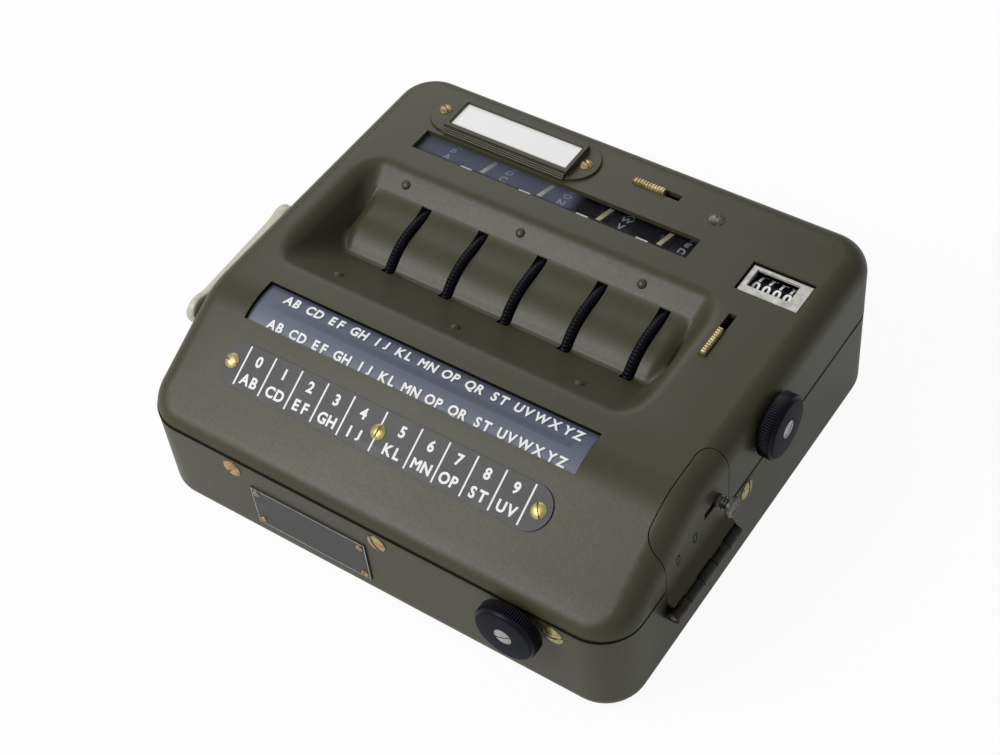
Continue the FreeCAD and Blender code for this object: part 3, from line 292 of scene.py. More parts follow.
def brass_metal(name):
    """Brass with tarnish in patches, coppery on the left and paler on the right."""
    f = Finish(name, Metallic=0.8)
    base = tuple(paint().brass)
    tarnish = f.noise(420, 4, 0.7)
    across = f.split("X")
    colour = f.mix(across.above(0.02, 0.05), (0.60, 0.44, 0.23), base)
    colour = f.mix(across.above(0.055, 0.03), colour, (0.62, 0.60, 0.30))
    colour = f.mix(tarnish.above(0.5, 0.3), colour, scaled(base, 0.4))
    return f.feed(Base_Color=colour, Roughness=0.22 + tarnish * 0.3,
                  Normal=f.bump(f.noise(1600), 0.2, 0.0001))


def yellow_brass(name):
    """Bright yellow screws of the strip, redder at the left end."""
    f = Finish(name, Metallic=0.7)
    tarnish = f.noise(420, 4, 0.7)
    colour = f.mix(f.split("X").above(-0.035, 0.02), (0.68, 0.54, 0.27), (0.74, 0.66, 0.24))
    colour = f.mix(tarnish.above(0.55, 0.3), colour, (0.30, 0.26, 0.10))
    return f.feed(Base_Color=colour, Roughness=0.24 + tarnish * 0.3,
                  Normal=f.bump(f.noise(1600), 0.2, 0.0001))


# Worn metals: how metallic, the dull and the bright colour, and the least roughness.
METALS = {
    "steel_metal": (0.9, (0.30, 0.30, 0.31), (0.55, 0.55, 0.55), 0.25),
    "silver_metal": (0.35, (0.42, 0.41, 0.38), (0.82, 0.81, 0.77), 0.34),
    "dark_metal": (0.5, (0.010, 0.010, 0.009), (0.055, 0.052, 0.045), 0.30),
    "latch_metal": (0.8, (0.04, 0.04, 0.038), (0.26, 0.25, 0.23), 0.24),
    # Pale brass of the dividers, painted near white as a painted highlight over their shade under
    # the pane.
    "pale_brass": (0.1, (0.86, 0.72, 0.44), (1.0, 0.9, 0.66), 0.35),
    "slider_brass": (0.7, (0.24, 0.18, 0.08), (0.86, 0.70, 0.38), 0.26),
}


def worn_metal(name):
    """Metal that is duller and darker in patches."""
    metallic, dull, bright, roughness = METALS[name]
    f = Finish(name, Metallic=metallic)
    wear = f.noise(380, 4, 0.65)
    return f.feed(Base_Color=f.mix(wear.above(0.5, 0.4), dull, bright),
                  Roughness=roughness + wear * 0.2, Normal=f.bump(wear, 0.15, 0.0001))


# Clouded finishes: the shader's settings, the clouds' scale, detail and roughness, two shades
# (or a paint and two factors), the least roughness and the clouds' share in it, and the grain's
# strength, depth, scale and detail. A grain without a scale follows the clouds.
CLOUDED = {
    # Black knobs, rings and drums.
    "black_finish": ({"specular": 0.14}, (300, 3, 0.6), ("black", 0.6, 1.8),
                     (0.27, 0.2), (0.15, 0.0001, 1500, 2)),
    # Flat blue-black face of a knob.
    "knob_face": ({"specular": 0.06}, (350, 3, 0.6),
                  ((0.004, 0.005, 0.011), (0.009, 0.011, 0.022)),
                  (0.38, 0.15), (0.2, 0.0001, 1400, 2)),
    # Unlit black in the seams.
    "shadow_black": ({"specular": 0.1}, (600, 2, 0.5),
                     ((0.002, 0.002, 0.002), (0.006, 0.006, 0.006)), (0.8, 0.1), None),
    # Aged cream moulding.
    "cream_plastic": ({"specular": 0.5, "Coat_Weight": 0.15}, (60, 4, 0.65),
                      ("cream", 0.9, 1.1), (0.32, 0.15), (0.1, 0.0002, 500, 3)),
    # White filled lettering, slightly uneven.
    "white_print": ({"specular": 0.3}, (900, 3, 0.6),
                    ((0.90, 0.90, 0.88), (1.0, 1.0, 0.98)), (0.5, 0.2), None),
    # Small letters on the drums, painted grey-blue as painted shade of the pane over them.
    "drum_print": ({"specular": 0.3}, (900, 3, 0.6),
                   ((0.36, 0.40, 0.47), (0.5, 0.55, 0.62)), (0.5, 0.2), None),
    # Matt card behind the label's edge.
    "white_card": ({"specular": 0.3}, (700, 4, 0.7),
                   ((0.97, 0.97, 0.97), (1.0, 1.0, 1.0)), (0.55, 0.2), (0.1, 0.0001)),
    # Dark works inside the case.
    "inside_metal": ({"Metallic": 0.4}, (200, 3, 0.6),
                     ((0.03, 0.03, 0.03), (0.07, 0.07, 0.068)), (0.45, 0.2), (0.1, 0.0001)),
}


def clouded(name):
    """A finish that wanders between two shades, with or without a fine grain."""
    settings, cloud, shades, rough, grain = CLOUDED[name]
    f = Finish(name, **settings)
    clouds = f.noise(*cloud)
    if isinstance(shades[0], str):
        base = tuple(getattr(paint(), shades[0]))
        shades = [scaled(base, factor) for factor in shades[1:]]
    wires = {"Base_Color": f.mix(clouds, *shades), "Roughness": rough[0] + clouds * rough[1]}
    if grain:
        strength, distance, *fine = grain
        wires["Normal"] = f.bump(f.noise(*fine) if fine else clouds, strength, distance)
    return f.feed(**wires)


def near_edge(f):
    """1 towards the front of the curved pane and 0 towards its rear, for painted light at the
    front and painted shade at the rear.
    """
    return 1 - f.split("Y").above(-0.034, 0.014)


def letter_plate_paint(name):
    """Blue-grey plate under the curved pane, with painted shade towards its rear."""
    f = Finish(name, specular=0.4)
    base = tuple(paint().pane)
    cloud = f.noise(70, 3, 0.6)
    colour = f.mix(near_edge(f), scaled(base, 0.45), scaled(base, 1.25))
    return f.feed(Base_Color=f.mix(cloud * 0.3, colour, base), Roughness=0.45 + cloud * 0.15)


def curved_pane(name):
    """Clear plastic with a blue-grey cast, a soft sheen and a painted reflection towards its
    front.
    """
    f = Finish(name, specular=0.5)
    smear = f.noise(90, 4, 0.6)
    left = 1 - f.split("X").above(-0.045, 0.05)
    return f.feed(Base_Color=f.mix(near_edge(f), (0.13, 0.15, 0.24), (0.34, 0.37, 0.46)),
                  Roughness=0.28 + smear * 0.1, Alpha=0.28 + smear * 0.08 + left * 0.16)


def flat_pane(name):
    """Clear pane over the drums, with a painted blue-grey reflection over its left part."""
    f = Finish(name, specular=0.25)
    smear = f.noise(60, 3, 0.6)
    left_reflection = 1 - f.split("X").above(-0.005, 0.004)
    return f.feed(Base_Color=f.mix(left_reflection, (0.02, 0.02, 0.03), (0.23, 0.26, 0.36)),
                  Roughness=0.3 + smear * 0.1, Alpha=0.12 + left_reflection * (0.05 + smear * 0.08))


def floor_paper(name):
    """Pale paper that the camera sees as plain white, but for the shadow on it."""
    f = Finish(name, Roughness=0.9, specular=0.1)
    material = f.feed(Base_Color=f.mix(f.noise(3), (0.86, 0.86, 0.86), (0.88, 0.88, 0.88)))
    seen = f.node("LightPath", output="Is Camera Ray")
    glossy = f.node("LightPath", output="Is Glossy Ray")
    blend = f.node("MixShader", None, {
        0: seen * 0.94 + glossy * 0.35, 1: Wire(f.tree, f.shader.outputs[0]),
        2: f.node("Emission")})
    f.tree.links.new(blend.socket, f.tree.nodes["Material Output"].inputs[0])
    return material


MAKERS = {
    "olive_paint": olive_paint, "dark_plate": dark_plate, "brass_metal": brass_metal,
    "yellow_brass": yellow_brass, "letter_plate_paint": letter_plate_paint,
    "curved_pane": curved_pane, "flat_pane": flat_pane, "floor_paper": floor_paper,
    **dict.fromkeys(METALS, worn_metal), **dict.fromkeys(CLOUDED, clouded),
}


# Surfaces.
def over_case(along, lift):
    """Point over the top: along runs forwards from the start of the bend, lift is off the surface.

    Before the bend y = start - along and z = top + lift. On it the angle is along / radius, and
    the point lies radius + lift from the bend's centre. Past it the point goes down the slope.
    """
    turn = np.clip(along / BEND, 0, SLOPE)
    before = np.minimum(along, 0)
    past = np.maximum(along - BEND * SLOPE, 0)
    y = BEND_START - before - (BEND + lift) * np.sin(turn) - past * math.cos(SLOPE)
    z = TOP - BEND + (BEND + lift) * np.cos(turn) - past * math.sin(SLOPE)
    return y, z


def along_case(y):
    """How far along the top a point lies, from its y. It undoes over_case at lift 0."""
    end = BEND_START - BEND * math.sin(SLOPE)
    if y >= BEND_START:
        return BEND_START - y
    if y >= end:
        return BEND * math.asin((BEND_START - y) / BEND)
    return BEND * SLOPE + (end - y) / math.cos(SLOPE)


def front_slope(y):
    """Height of the trough's front slope: it falls evenly from the front edge."""
    return TOP - (y - TROUGH_Y[0]) * FRONT_FALL


def ledge(y):
    """Height of the trough's ledge: it falls evenly from the rear edge."""
    return TOP - (TROUGH_Y[1] - y) * LEDGE_FALL


def rounded_max(a, b, k):
    """The greater of two heights. Where their gap is under k, k / 4 (1 - gap / k)^2 is added."""
    share = np.clip(1 - np.abs(a - b) / k, 0, 1)
    return np.maximum(a, b) + k / 4 * share ** 2


def trough_floor(x, y):
    """Height in the trough: the greatest of front slope, barrel, ledge and end walls, rounded.

    A wall falls by its distance from the trough's end over the tangent of its lean. The barrel is
    sqrt(r^2 - d^2) over its axle at distance d, and r grows along a quarter circle at its ends.
    """
    from_end = np.minimum(x - TROUGH_X[0], TROUGH_X[1] - x)
    wall = TOP - from_end / math.tan(WALL_LEAN)
    short = BARREL_ROUNDING - np.minimum(from_end - BARREL_GAP, BARREL_ROUNDING)
    rounding = np.sqrt(np.maximum(BARREL_ROUNDING ** 2 - short ** 2, 0))
    radius = np.where(short < BARREL_ROUNDING, BARREL - BARREL_ROUNDING + rounding, 0)
    barrel = AXLE[1] + np.sqrt(np.maximum(radius ** 2 - (y - AXLE[0]) ** 2, 0))
    at_barrel, at_ledge, at_walls = 1.6, 4.5, 6.0
    z = rounded_max(front_slope(y), barrel, at_barrel)
    return rounded_max(rounded_max(z, ledge(y), at_ledge), wall, at_walls)


def even_steps(marks, step):
    """Numbers from the first mark to the last that meet every mark, about a step apart."""
    runs = [np.linspace(a, b, max(2, int((b - a) / step) + 1))[:-1]
            for a, b in zip(marks[:-1], marks[1:])]
    return np.concatenate([*runs, marks[-1:]])


def make(name, parts, material, body, slot, *nodes, crease=None):
    """A piece joined from surfaces in millimetres, with doubles merged and faces outwards.

    It moves with a body and stands for nodes. Edges under the crease angle are smooth.
    """
    vertices, faces = joined(parts)
    mesh = bpy.data.meshes.new(name)
    mesh.from_pydata((vertices * MM).tolist(), [], faces)
    mesh.materials.append(finish(material))
    piece = bpy.data.objects.new(name, mesh)
    bpy.context.collection.objects.link(piece)
    work = bmesh.new()
    work.from_mesh(mesh)
    bmesh.ops.remove_doubles(work, verts=work.verts, dist=0.002 * MM)
    bmesh.ops.dissolve_degenerate(work, dist=0.001 * MM, edges=work.edges)
    bmesh.ops.recalc_face_normals(work, faces=work.faces)
    work.to_mesh(mesh)
    work.free()
    if crease:
        shade(piece, crease)
    return ride_as(piece, body, slot, *nodes)


def shade(piece, degrees):
    """Smooth shading, with edges over the angle kept sharp."""
    mesh = piece.data
    mesh.polygons.foreach_set("use_smooth", np.ones(len(mesh.polygons), bool))
    work = bmesh.new()
    work.from_mesh(mesh)
    limit = math.radians(degrees)
    for edge in work.edges:
        edge.smooth = len(edge.link_faces) == 2 and edge.calc_face_angle(0) < limit
    work.to_mesh(mesh)
    work.free()


def grid(points, closed=False):
    """Vertices and quads of a surface given as rows of points, each row closed or open."""
    rows, columns = points.shape[:2]
    index = np.arange(rows * columns).reshape(rows, columns)
    if closed:
        index = np.concatenate([index, index[:, :1]], axis=1)
    quads = np.stack([index[:-1, :-1], index[1:, :-1], index[1:, 1:], index[:-1, 1:]], axis=-1)
    return points.reshape(-1, 3), quads.reshape(-1, 4).tolist()


def capped(points):
    """A closed grid with its first and last row filled."""
    rows, columns = points.shape[:2]
    vertices, faces = grid(points, closed=True)
    last = (rows - 1) * columns
    return vertices, faces + [list(range(columns)), list(range(last, last + columns))]


def joined(parts):
    """Several vertex and face lists as one."""
    vertices, faces, start = [], [], 0
    for points, polygons in parts:
        vertices.append(np.asarray(points, float))
        faces += [[k + start for k in polygon] for polygon in polygons]
        start += len(points)
    return np.concatenate(vertices), faces


def lathe(profile, count=64, ridge=None):
    """A surface turned about X: at angle a, (distance, radius) becomes (d, r cos a, r sin a).

    ridge(distance, radius, angle) may change the radius.
    """
    profile = np.asarray(profile, float)
    angle = np.linspace(0, 2 * np.pi, count, endpoint=False)
    distance = np.repeat(profile[:, :1], count, axis=1)
    radius = np.repeat(profile[:, 1:2], count, axis=1)
    if ridge:
        radius = radius + ridge(distance, radius, angle[None, :])
    points = np.stack([distance, radius * np.cos(angle), radius * np.sin(angle)], axis=-1)
    return grid(points, closed=True)


def swept(section, low, high):
    """A closed section in (y, z) carried along X from low to high, with flat ends."""
    section = np.asarray(section, float)
    points = np.empty((2, len(section), 3))
    points[:, :, 0] = [[low], [high]]
    points[:, :, 1:] = section
    return capped(points)


def block(low, high):
    """A box between two corners."""
    section = [(low[1], low[2]), (high[1], low[2]), (high[1], high[2]), (low[1], high[2])]
    return swept(section, low[0], high[0])


def rim_bars(low, high, width):
    """Four bars inside a rectangle's edge, each as its two corners in (u, v)."""
    (left, foot), (right, head) = low, high
    return [((left, foot), (right, foot + width)), ((left, head - width), (right, head)),
            ((left, foot + width), (left + width, head - width)),
            ((right - width, foot + width), (right, head - width))]


def arc(centre, radius, start, end, count=12):
    """Points on an arc, angles in degrees."""
    angle = np.radians(np.linspace(start, end, count))
    return np.stack([np.cos(angle), np.sin(angle)], axis=1) * radius + centre


def turned_to(surface, base, axis, spin=0.0):
    """Turns a surface made along X so that X points along axis, and moves it to base."""
    vertices, faces = surface
    rotation = Vector((1, 0, 0)).rotation_difference(Vector(axis)).to_matrix()
    rotation = np.array(rotation @ Matrix.Rotation(spin, 3, "X"))
    return vertices @ rotation.T + base, faces


def cuts(count, depth, start, over, power, slant=0.0):
    """Cuts round a turned piece, for lathe: depth (1 - |sin(count a / 2 + slant d)|)^power.

    They begin at the start radius and have their full depth further out by over.
    """
    def ridge(distance, radius, angle):
        outer = np.clip((radius - start) / over, 0, 1)
        wave = np.abs(np.sin(angle * count / 2 + distance * slant))
        return -depth * outer * (1 - wave) ** power

    return ridge


def character(letter, height, depth=0.05):
    """One raised bold character as a mesh in millimetres, centred on the origin in (u, v, w).

    The font's own outline is made bolder by an offset. The offset spoils the fill of an M, so
    that one is three shifted copies. A J is squeezed upwards until it stands on the line.
    """
    bolder = 0.034
    capital = 0.73
    curve = bpy.data.curves.new("characters", "FONT")
    curve.body = letter
    curve.size = 1.0
    curve.offset = 0.0 if letter == "M" else bolder
    curve.resolution_u = 4
    curve.extrude = 0.5
    holder = bpy.data.objects.new("characters", curve)
    bpy.context.collection.objects.link(holder)
    bpy.context.view_layer.update()
    mesh = bpy.data.meshes.new_from_object(holder)
    work = bmesh.new()
    work.from_mesh(mesh)
    # Cuts across the character, so that it can follow a bend.
    for level in np.linspace(0.05, 0.7, 6):
        bmesh.ops.bisect_plane(work, geom=[*work.verts, *work.edges, *work.faces],
                               plane_co=(0, level, 0), plane_no=(0, 1, 0))
    work.to_mesh(mesh)
    work.free()
    vertices = np.empty(len(mesh.vertices) * 3)
    mesh.vertices.foreach_get("co", vertices)
    vertices = vertices.reshape(-1, 3)
    faces = [list(polygon.vertices) for polygon in mesh.polygons]
    bpy.data.objects.remove(holder)
    bpy.data.curves.remove(curve)
    bpy.data.meshes.remove(mesh)
    if letter == "M":
        vertices, faces = joined([(vertices + (shift, 0, -abs(shift)), faces)
                                  for shift in (-bolder, 0, bolder)])
    if letter == "J":
        foot = vertices[:, 1].min()
        vertices[:, 1] = (vertices[:, 1] - foot) * capital / (capital - foot)
    vertices[:, 0] -= (vertices[:, 0].min() + vertices[:, 0].max()) / 2
    vertices[:, 1] -= capital / 2
    vertices *= (0.94 * height / capital, height / capital, depth)
    return vertices, faces


def pair_of(letters, height, depth=0.05):
    """One or two characters side by side, centres about a character's height apart or more."""
    pair = [character(letter, height, depth) for letter in letters]
    if len(pair) == 1:
        return pair[0]
    widths = [np.ptp(vertices[:, 0]) for vertices, _ in pair]
    apart = max(0.96 * height, sum(widths) / 2 + 0.13 * height)
    return joined([(vertices + (side * apart / 2, 0, 0), faces)
                   for side, (vertices, faces) in zip((-1, 1), pair)])


def on_case(surface, x, y, lift):
    """Lays flat characters over the top of the case, centred at x and y."""
    vertices, faces = surface
    depth, height = over_case(along_case(y) - vertices[:, 1], vertices[:, 2] + lift)
    return np.stack([x + vertices[:, 0], depth, height], axis=1), faces


def rolled(surface, x, centre, radius, angle):
    """Wraps flat characters round a drum about X, upright where angle is a right angle.

    A point v along the text lies v / radius further round, towards the rear.
    """
    vertices, faces = surface
    turn = angle - vertices[:, 1] / radius
    reach = radius + vertices[:, 2]
    return np.stack([x + vertices[:, 0], centre[0] + reach * np.cos(turn),
                     centre[1] + reach * np.sin(turn)], axis=1), faces


def printed_drum(name, letters, size, x, centre, radius, reading, material, body):
    """Characters of a height and depth evenly round a drum, the first at the reading angle."""
    pitch = 2 * math.pi / len(letters)
    parts = [rolled(character(letter, *size), x, centre, radius, reading - n * pitch)
             for n, letter in enumerate(letters)]
    make(name, parts, material, body, "drum_black")


def screw_head(radius, rise, slot_width, slot_depth):
    """A domed head with a straight slot, along +X, standing on x = 0.

    Rows run along the slot at fixed v; u goes to the rim at sqrt(1 - v^2). Height is
    rise (1 - 0.75 r^2.4), less the slot's depth where v lies in the slot.
    """
    count = 15
    half = slot_width / radius / 2
    outer = np.sin(np.linspace(-np.pi / 2, np.pi / 2, count))
    v = np.concatenate([outer[outer < -half * 1.3], [-half, -half * 0.98],
                        [half * 0.98, half], outer[outer > half * 1.3]])
    in_slot = np.abs(v) < half * 0.99
    reach = np.sqrt(np.maximum(1 - v ** 2, 0))
    u = np.sin(np.linspace(-np.pi / 2, np.pi / 2, count))[None] * reach[:, None]
    distance = np.sqrt(u ** 2 + v[:, None] ** 2)
    height = rise * (1 - 0.75 * distance ** 2.4) - slot_depth * in_slot[:, None]
    top = np.stack([height, u * radius, np.repeat(v[:, None], count, 1) * radius], axis=-1)
    side = top[:, [0, -1]].copy()
    side[:, :, 0] = -0.2
    return grid(np.concatenate([side[:, :1], top, side[:, 1:]], axis=1))


def painted_copy(node, name, material, body, slot, edge=None):
    """A smooth-shaded copy of a CAD node with its cut edges softened, in place of the node."""
    piece = bpy.data.objects.new(name, NODES[node].data.copy())
    bpy.context.collection.objects.link(piece)
    dress(piece, material)
    work = bmesh.new()
    work.from_mesh(piece.data)
    bmesh.ops.remove_doubles(work, verts=work.verts, dist=0.001 * MM)
    bmesh.ops.dissolve_limit(work, angle_limit=math.radians(0.3), verts=work.verts,
                             edges=work.edges, delimit={"NORMAL"})
    work.to_mesh(piece.data)
    work.free()
    shade(piece, SHEET_CREASE)
    width = sizes().edge if edge is None else edge * MM
    if width > 0:
        bevel = piece.modifiers.new("Edge", "BEVEL")
        bevel.width = width
        bevel.segments = 2
        bevel.limit_method = "ANGLE"
        bevel.angle_limit = math.radians(SHEET_CREASE)
        bevel.harden_normals = True
    return ride_as(piece, body, slot, node)


def dress(piece, material):
    """Gives a piece one material in place of its own."""
    piece.data.materials.clear()
    piece.data.materials.append(finish(material))


def ride_as(piece, body, slot, *nodes):
    """The piece moves with a body and stands for nodes. The slot is not used."""
    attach(piece, body)
    if nodes:
        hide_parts(*nodes)
    return piece


class MACHINE_OT_case(bpy.types.Operator):
    """Case: painted tray, cover and door, the black seam, the soft trough and the nameplate."""

    bl_idname = "machine.case"
    bl_label = "Case"

    def execute(self, context):
        for node, body in (("base_tray", "case"), ("top_cover", "case"), ("card_door", "door")):
            painted_copy(node, node + "_painted", "olive_paint", body, "painted_metal")
        self.seam()
        self.hollows()
        for node in ("left_plate", "right_plate", "wheel_axle", "drum_axle", "front_bush",
                     "side_bush", "lever_bush", "front_shaft", "side_shaft", "lever_shaft"):
            dress(NODES[node], "inside_metal")
        painted_copy("nameplate", "nameplate_bare", "dark_plate", "case", "dark_paint",
                     edge=0.1)
        parts = [block((left, FRONT - 0.54, foot), (right, FRONT - 0.45, head))
                 for (left, foot), (right, head) in rim_bars((-40.8, 8.8), (-0.9, 24.5), 0.28)]
        make("nameplate_border", parts, "steel_metal", "case", "steel")
        return {"FINISHED"}

    def hollows(self):
        """Soft hollows of the trough, as a skin over its floor, without the ring slots.

        Its height is trough_floor. It lies just over the pressed sheet, and near its own edge it
        dips just under it.
        """
        slot_half, slot_rear, skin_top = 1.8, 23.15, 51.5
        lift, dip, dip_from, dip_over = 0.04, 0.09, 48.8, 1.5
        # A slot starts where the floor comes nearer to the axle than this.
        ring_reach = 20.9
        y = np.linspace(-13, 25, 400)
        reach = np.hypot(y - AXLE[0], trough_floor(0, y) - AXLE[1])
        slot_front = y[reach < ring_reach][0]
        edges = [x + side * slot_half for x in RINGS for side in (-1, 1)]
        left, right, front, rear = -66.4, 49.9, -12.8, 24.8
        x = even_steps([left, *edges, right], 0.5)
        y = even_steps([front, slot_front, slot_rear, rear], 0.35)
        points = np.empty((len(x), len(y), 3))
        points[:, :, 0] = x[:, None]
        points[:, :, 1] = y
        z = trough_floor(x[:, None], y)
        points[:, :, 2] = z + lift - dip * np.clip((z - dip_from) / dip_over, 0, 1)
        vertices, faces = grid(points)
        low = z < skin_top
        kept = low[:-1, :-1] & low[1:, 1:] & low[1:, :-1] & low[:-1, 1:]
        middle_x, middle_y = (x[:-1] + x[1:]) / 2, (y[:-1] + y[1:]) / 2
        over_ring = (np.abs(middle_x[:, None] - RINGS) < slot_half).any(axis=1)
        in_slot = (middle_y > slot_front) & (middle_y < slot_rear)
        kept &= ~(over_ring[:, None] & in_slot)
        used, faces = np.unique(np.array(faces)[kept.reshape(-1)], return_inverse=True)
        skin = make("trough_hollows", [(vertices[used], faces.reshape(-1, 4).tolist())],
                    "olive_paint", "case", "painted_metal", crease=MOULDED_CREASE)
        if skin.data.polygons[0].normal.z < 0:
            skin.data.flip_normals()
        solid = skin.modifiers.new("Sheet", "SOLIDIFY")
        solid.thickness = 1.0 * MM
        solid.offset = -1

    def seam(self):
        """A black band in the groove between tray and cover, open where the door hangs.

        Its section, as distances inwards and heights, is carried along the outline of the case.
        Along the rear it lies deeper in the groove.
        """
        # How far the band stands out, the radius of its corners and that of the rear's ends.
        proud, corner, sunk = 0.05, 12.55, 12.2
        door_rear, door_front = -15.0, -48.7
        x, y = SIDE + proud - corner, proud - FRONT - corner
        path = np.concatenate([
            [(SIDE + proud, door_rear)], arc((x, y), corner, 0, 80, 14),
            arc((x, y), sunk, 84, 90, 2), arc((-x, y), sunk, 90, 96, 2),
            arc((-x, y), corner, 100, 180, 14),
            arc((-x, -y), corner, 180, 270, 16), arc((x, -y), corner, 270, 360, 16),
            [(SIDE + proud, door_front)]])
        ahead = np.gradient(path, axis=0)
        inward = np.stack([-ahead[:, 1], ahead[:, 0]], axis=1)
        inward /= np.linalg.norm(inward, axis=1)[:, None]
        section = np.array([(0, 32.86), (0.17, 32.86), (0.17, 33.05), (0.5, 33.05),
                            (0.5, 33.55), (0.17, 33.55), (0.17, 33.74), (0, 33.74)])
        points = np.empty((len(path), len(section), 3))
        points[:, :, :2] = path[:, None] + section[None, :, :1] * inward[:, None]
        points[:, :, 2] = section[:, 1]
        make("seam_shadow", [capped(points)], "shadow_black", "case", "black_metal",
             crease=TURNED_CREASE)


class MACHINE_OT_rivets(bpy.types.Operator):
    """Domed rivets in the trough, painted over, and the bright rivets of the nameplate."""

    bl_idname = "machine.rivets"
    bl_label = "Rivets"

    def execute(self, context):
        dome = [(-0.3, 1.5), (0.0, 1.5), (0.25, 1.42), (0.5, 1.15), (0.68, 0.75), (0.76, 0.3),
                (0.78, 0.0)]
        # Where the ledge and the front slope meet the barrel. The rows lie part of the way there.
        ledge_foot, front_foot, spacing = 23.2, 2.6, 41
        rear_y = 0.45 * TROUGH_Y[1] + 0.55 * ledge_foot
        front_y = 0.7 * TROUGH_Y[0] + 0.3 * front_foot
        rows = [(-53.7, rear_y, ledge(rear_y), -math.atan(LEDGE_FALL)),
                (-49.9, front_y, front_slope(front_y), math.atan(FRONT_FALL))]
        parts = [turned_to(lathe(dome, 24), (start + spacing * k, y, z),
                           (0, math.sin(tilt), math.cos(tilt)))
                 for k in range(3) for start, y, z, tilt in rows]
        make("trough_rivet_heads", parts, "olive_paint", "case", "painted_metal",
             "trough_rivets", crease=MOULDED_CREASE)
        head = screw_head(1.15, 0.7, slot_width=0.3, slot_depth=0.25)
        parts = [turned_to(head, (x, FRONT - 0.5, z), (0, -1, 0), x + z)
                 for x in (-39.0, -2.7) for z in (10.6, 22.7)]
        make("nameplate_rivet_heads", parts, "brass_metal", "case", "brass",
             "nameplate_rivets", crease=TURNED_CREASE)
        return {"FINISHED"}


class MACHINE_OT_screws(bpy.types.Operator):
    """Slotted screws of the case, the strip and the label."""

    bl_idname = "machine.screws"
    bl_label = "Screws"

    def execute(self, context):
        front, up = (0, -1, 0), (0, 0, 1)
        slope = (0, -math.sin(SLOPE), math.cos(SLOPE))
        # The row of the case's screws, and (y, z) on the strip and on the label frame.
        row = 28.9
        strip = [float(v) for v in over_case(np.array(along_case(-51.1)), 0.5)]
        label = (56.6, TOP + 0.8)
        # For each group its finish and slot, the nodes it stands for, the heads' radius and
        # rise, and each head's base, axis and the turn of its slot.
        groups = {
            "case_screws": ("brass_metal", "brass", ["case_screws"], 3.0, 0.9, [
                ((-46.7, FRONT, row), front, 0.9), ((3.8, FRONT, row), front, 2.2),
                ((60.6, FRONT, row), front, 0.3), ((SIDE, -6.1, row), (1, 0, 0), 1.2)]),
            "top_screw": ("latch_metal", "steel", [], 2.4, 0.5, [((35.4, 56.0, TOP), up, 0.6)]),
            "strip_screws": ("yellow_brass", "brass", ["strip_screws"], 2.25, 0.8, [
                ((-58.8, *strip), slope, 2.0), ((-7.6, *strip), slope, 0.4),
                ((44.2, *strip), slope, 1.1)]),
            "label_screws": ("brass_metal", "brass", ["label_screws"], 2.1, 0.7, [
                ((-59.9, *label), up, 1.0), ((-9.2, *label), up, 1.0)]),
        }
        for name, (material, slot, nodes, radius, rise, places) in groups.items():
            head = screw_head(radius, rise, slot_width=radius * 0.26, slot_depth=0.55)
            make(name + "_heads", [turned_to(head, *place) for place in places], material,
                 "case", slot, *nodes, crease=38)
        return {"FINISHED"}


class MACHINE_OT_rings(bpy.types.Operator):
    """Thumb rings: a rounded band with ridges that slant across it."""

    bl_idname = "machine.rings"
    bl_label = "Thumb rings"

    def execute(self, context):
        # The section, as (distance, radius): straight sides up to a half round.
        turn = np.linspace(0, np.pi, 9)
        band = [(-1.4, 15.4), (-1.4, 17.4),
                *((-1.38 * math.cos(a), 18.9 + 1.35 * math.sin(a)) for a in turn),
                (1.4, 17.4), (1.4, 15.4), (-1.4, 15.4)]
        ridges = sizes().ridges
        ring = lathe(band, ridges * 6, cuts(ridges, depth=0.42, start=18.4, over=1.2, power=1.4,
                                            slant=0.25))
        for k, x in enumerate(RINGS, start=1):
            make("thumb_ring_%d_ridged" % k, [turned_to(ring, (x, *AXLE), (1, 0, 0))],
                 "black_finish", "wheel_%d" % k, "black_metal", "thumb_ring_%d" % k,
                 crease=MOULDED_CREASE)
            dress(NODES["key_wheel_%d" % k], "inside_metal")
        return {"FINISHED"}


class MACHINE_OT_drums(bpy.types.Operator):
    """Letter drums, their letters, the reading bar with its dashes, dividers and flat pane."""

    bl_idname = "machine.drums"
    bl_label = "Letter drums"

    def execute(self, context):
        # The letters' height and depth, the drums' radius and how far left of its ring each is.
        size, radius, left_of_ring = (2.6, 0.08), 15.8, 6.8
        # The letter that is shown stands just behind the top of its drum.
        reading = math.atan2(51.9 - DRUM_AXLE[1], 0.9)
        for k, (x, shown) in enumerate(zip(RINGS, "ACNVD"), start=1):
            dress(NODES["letter_drum_%d" % k], "black_finish")
            first = ALPHABET.index(shown)
            printed_drum("drum_letters_%d" % k, ALPHABET[first:] + ALPHABET[:first], size,
                         x - left_of_ring, DRUM_AXLE, radius, reading, "drum_print",
                         "drum_%d" % k)
        dress(NODES["reading_bar"], "black_finish")
        parts = [block((x - 2.0, 40.55, 52.8), (x + 2.0, 41.1, 52.98))
                 for x in (-41.9, -20.9, -0.9, 19.3)]
        make("reading_dashes", parts, "white_print", "case", "white_card")
        # The dividers' near-white colour is partly painted highlight.
        dress(NODES["dividers"], "pale_brass")
        painted_copy("letter_window", "letter_pane", "flat_pane", "case", "clear_pane",
                     edge=0)
        return {"FINISHED"}


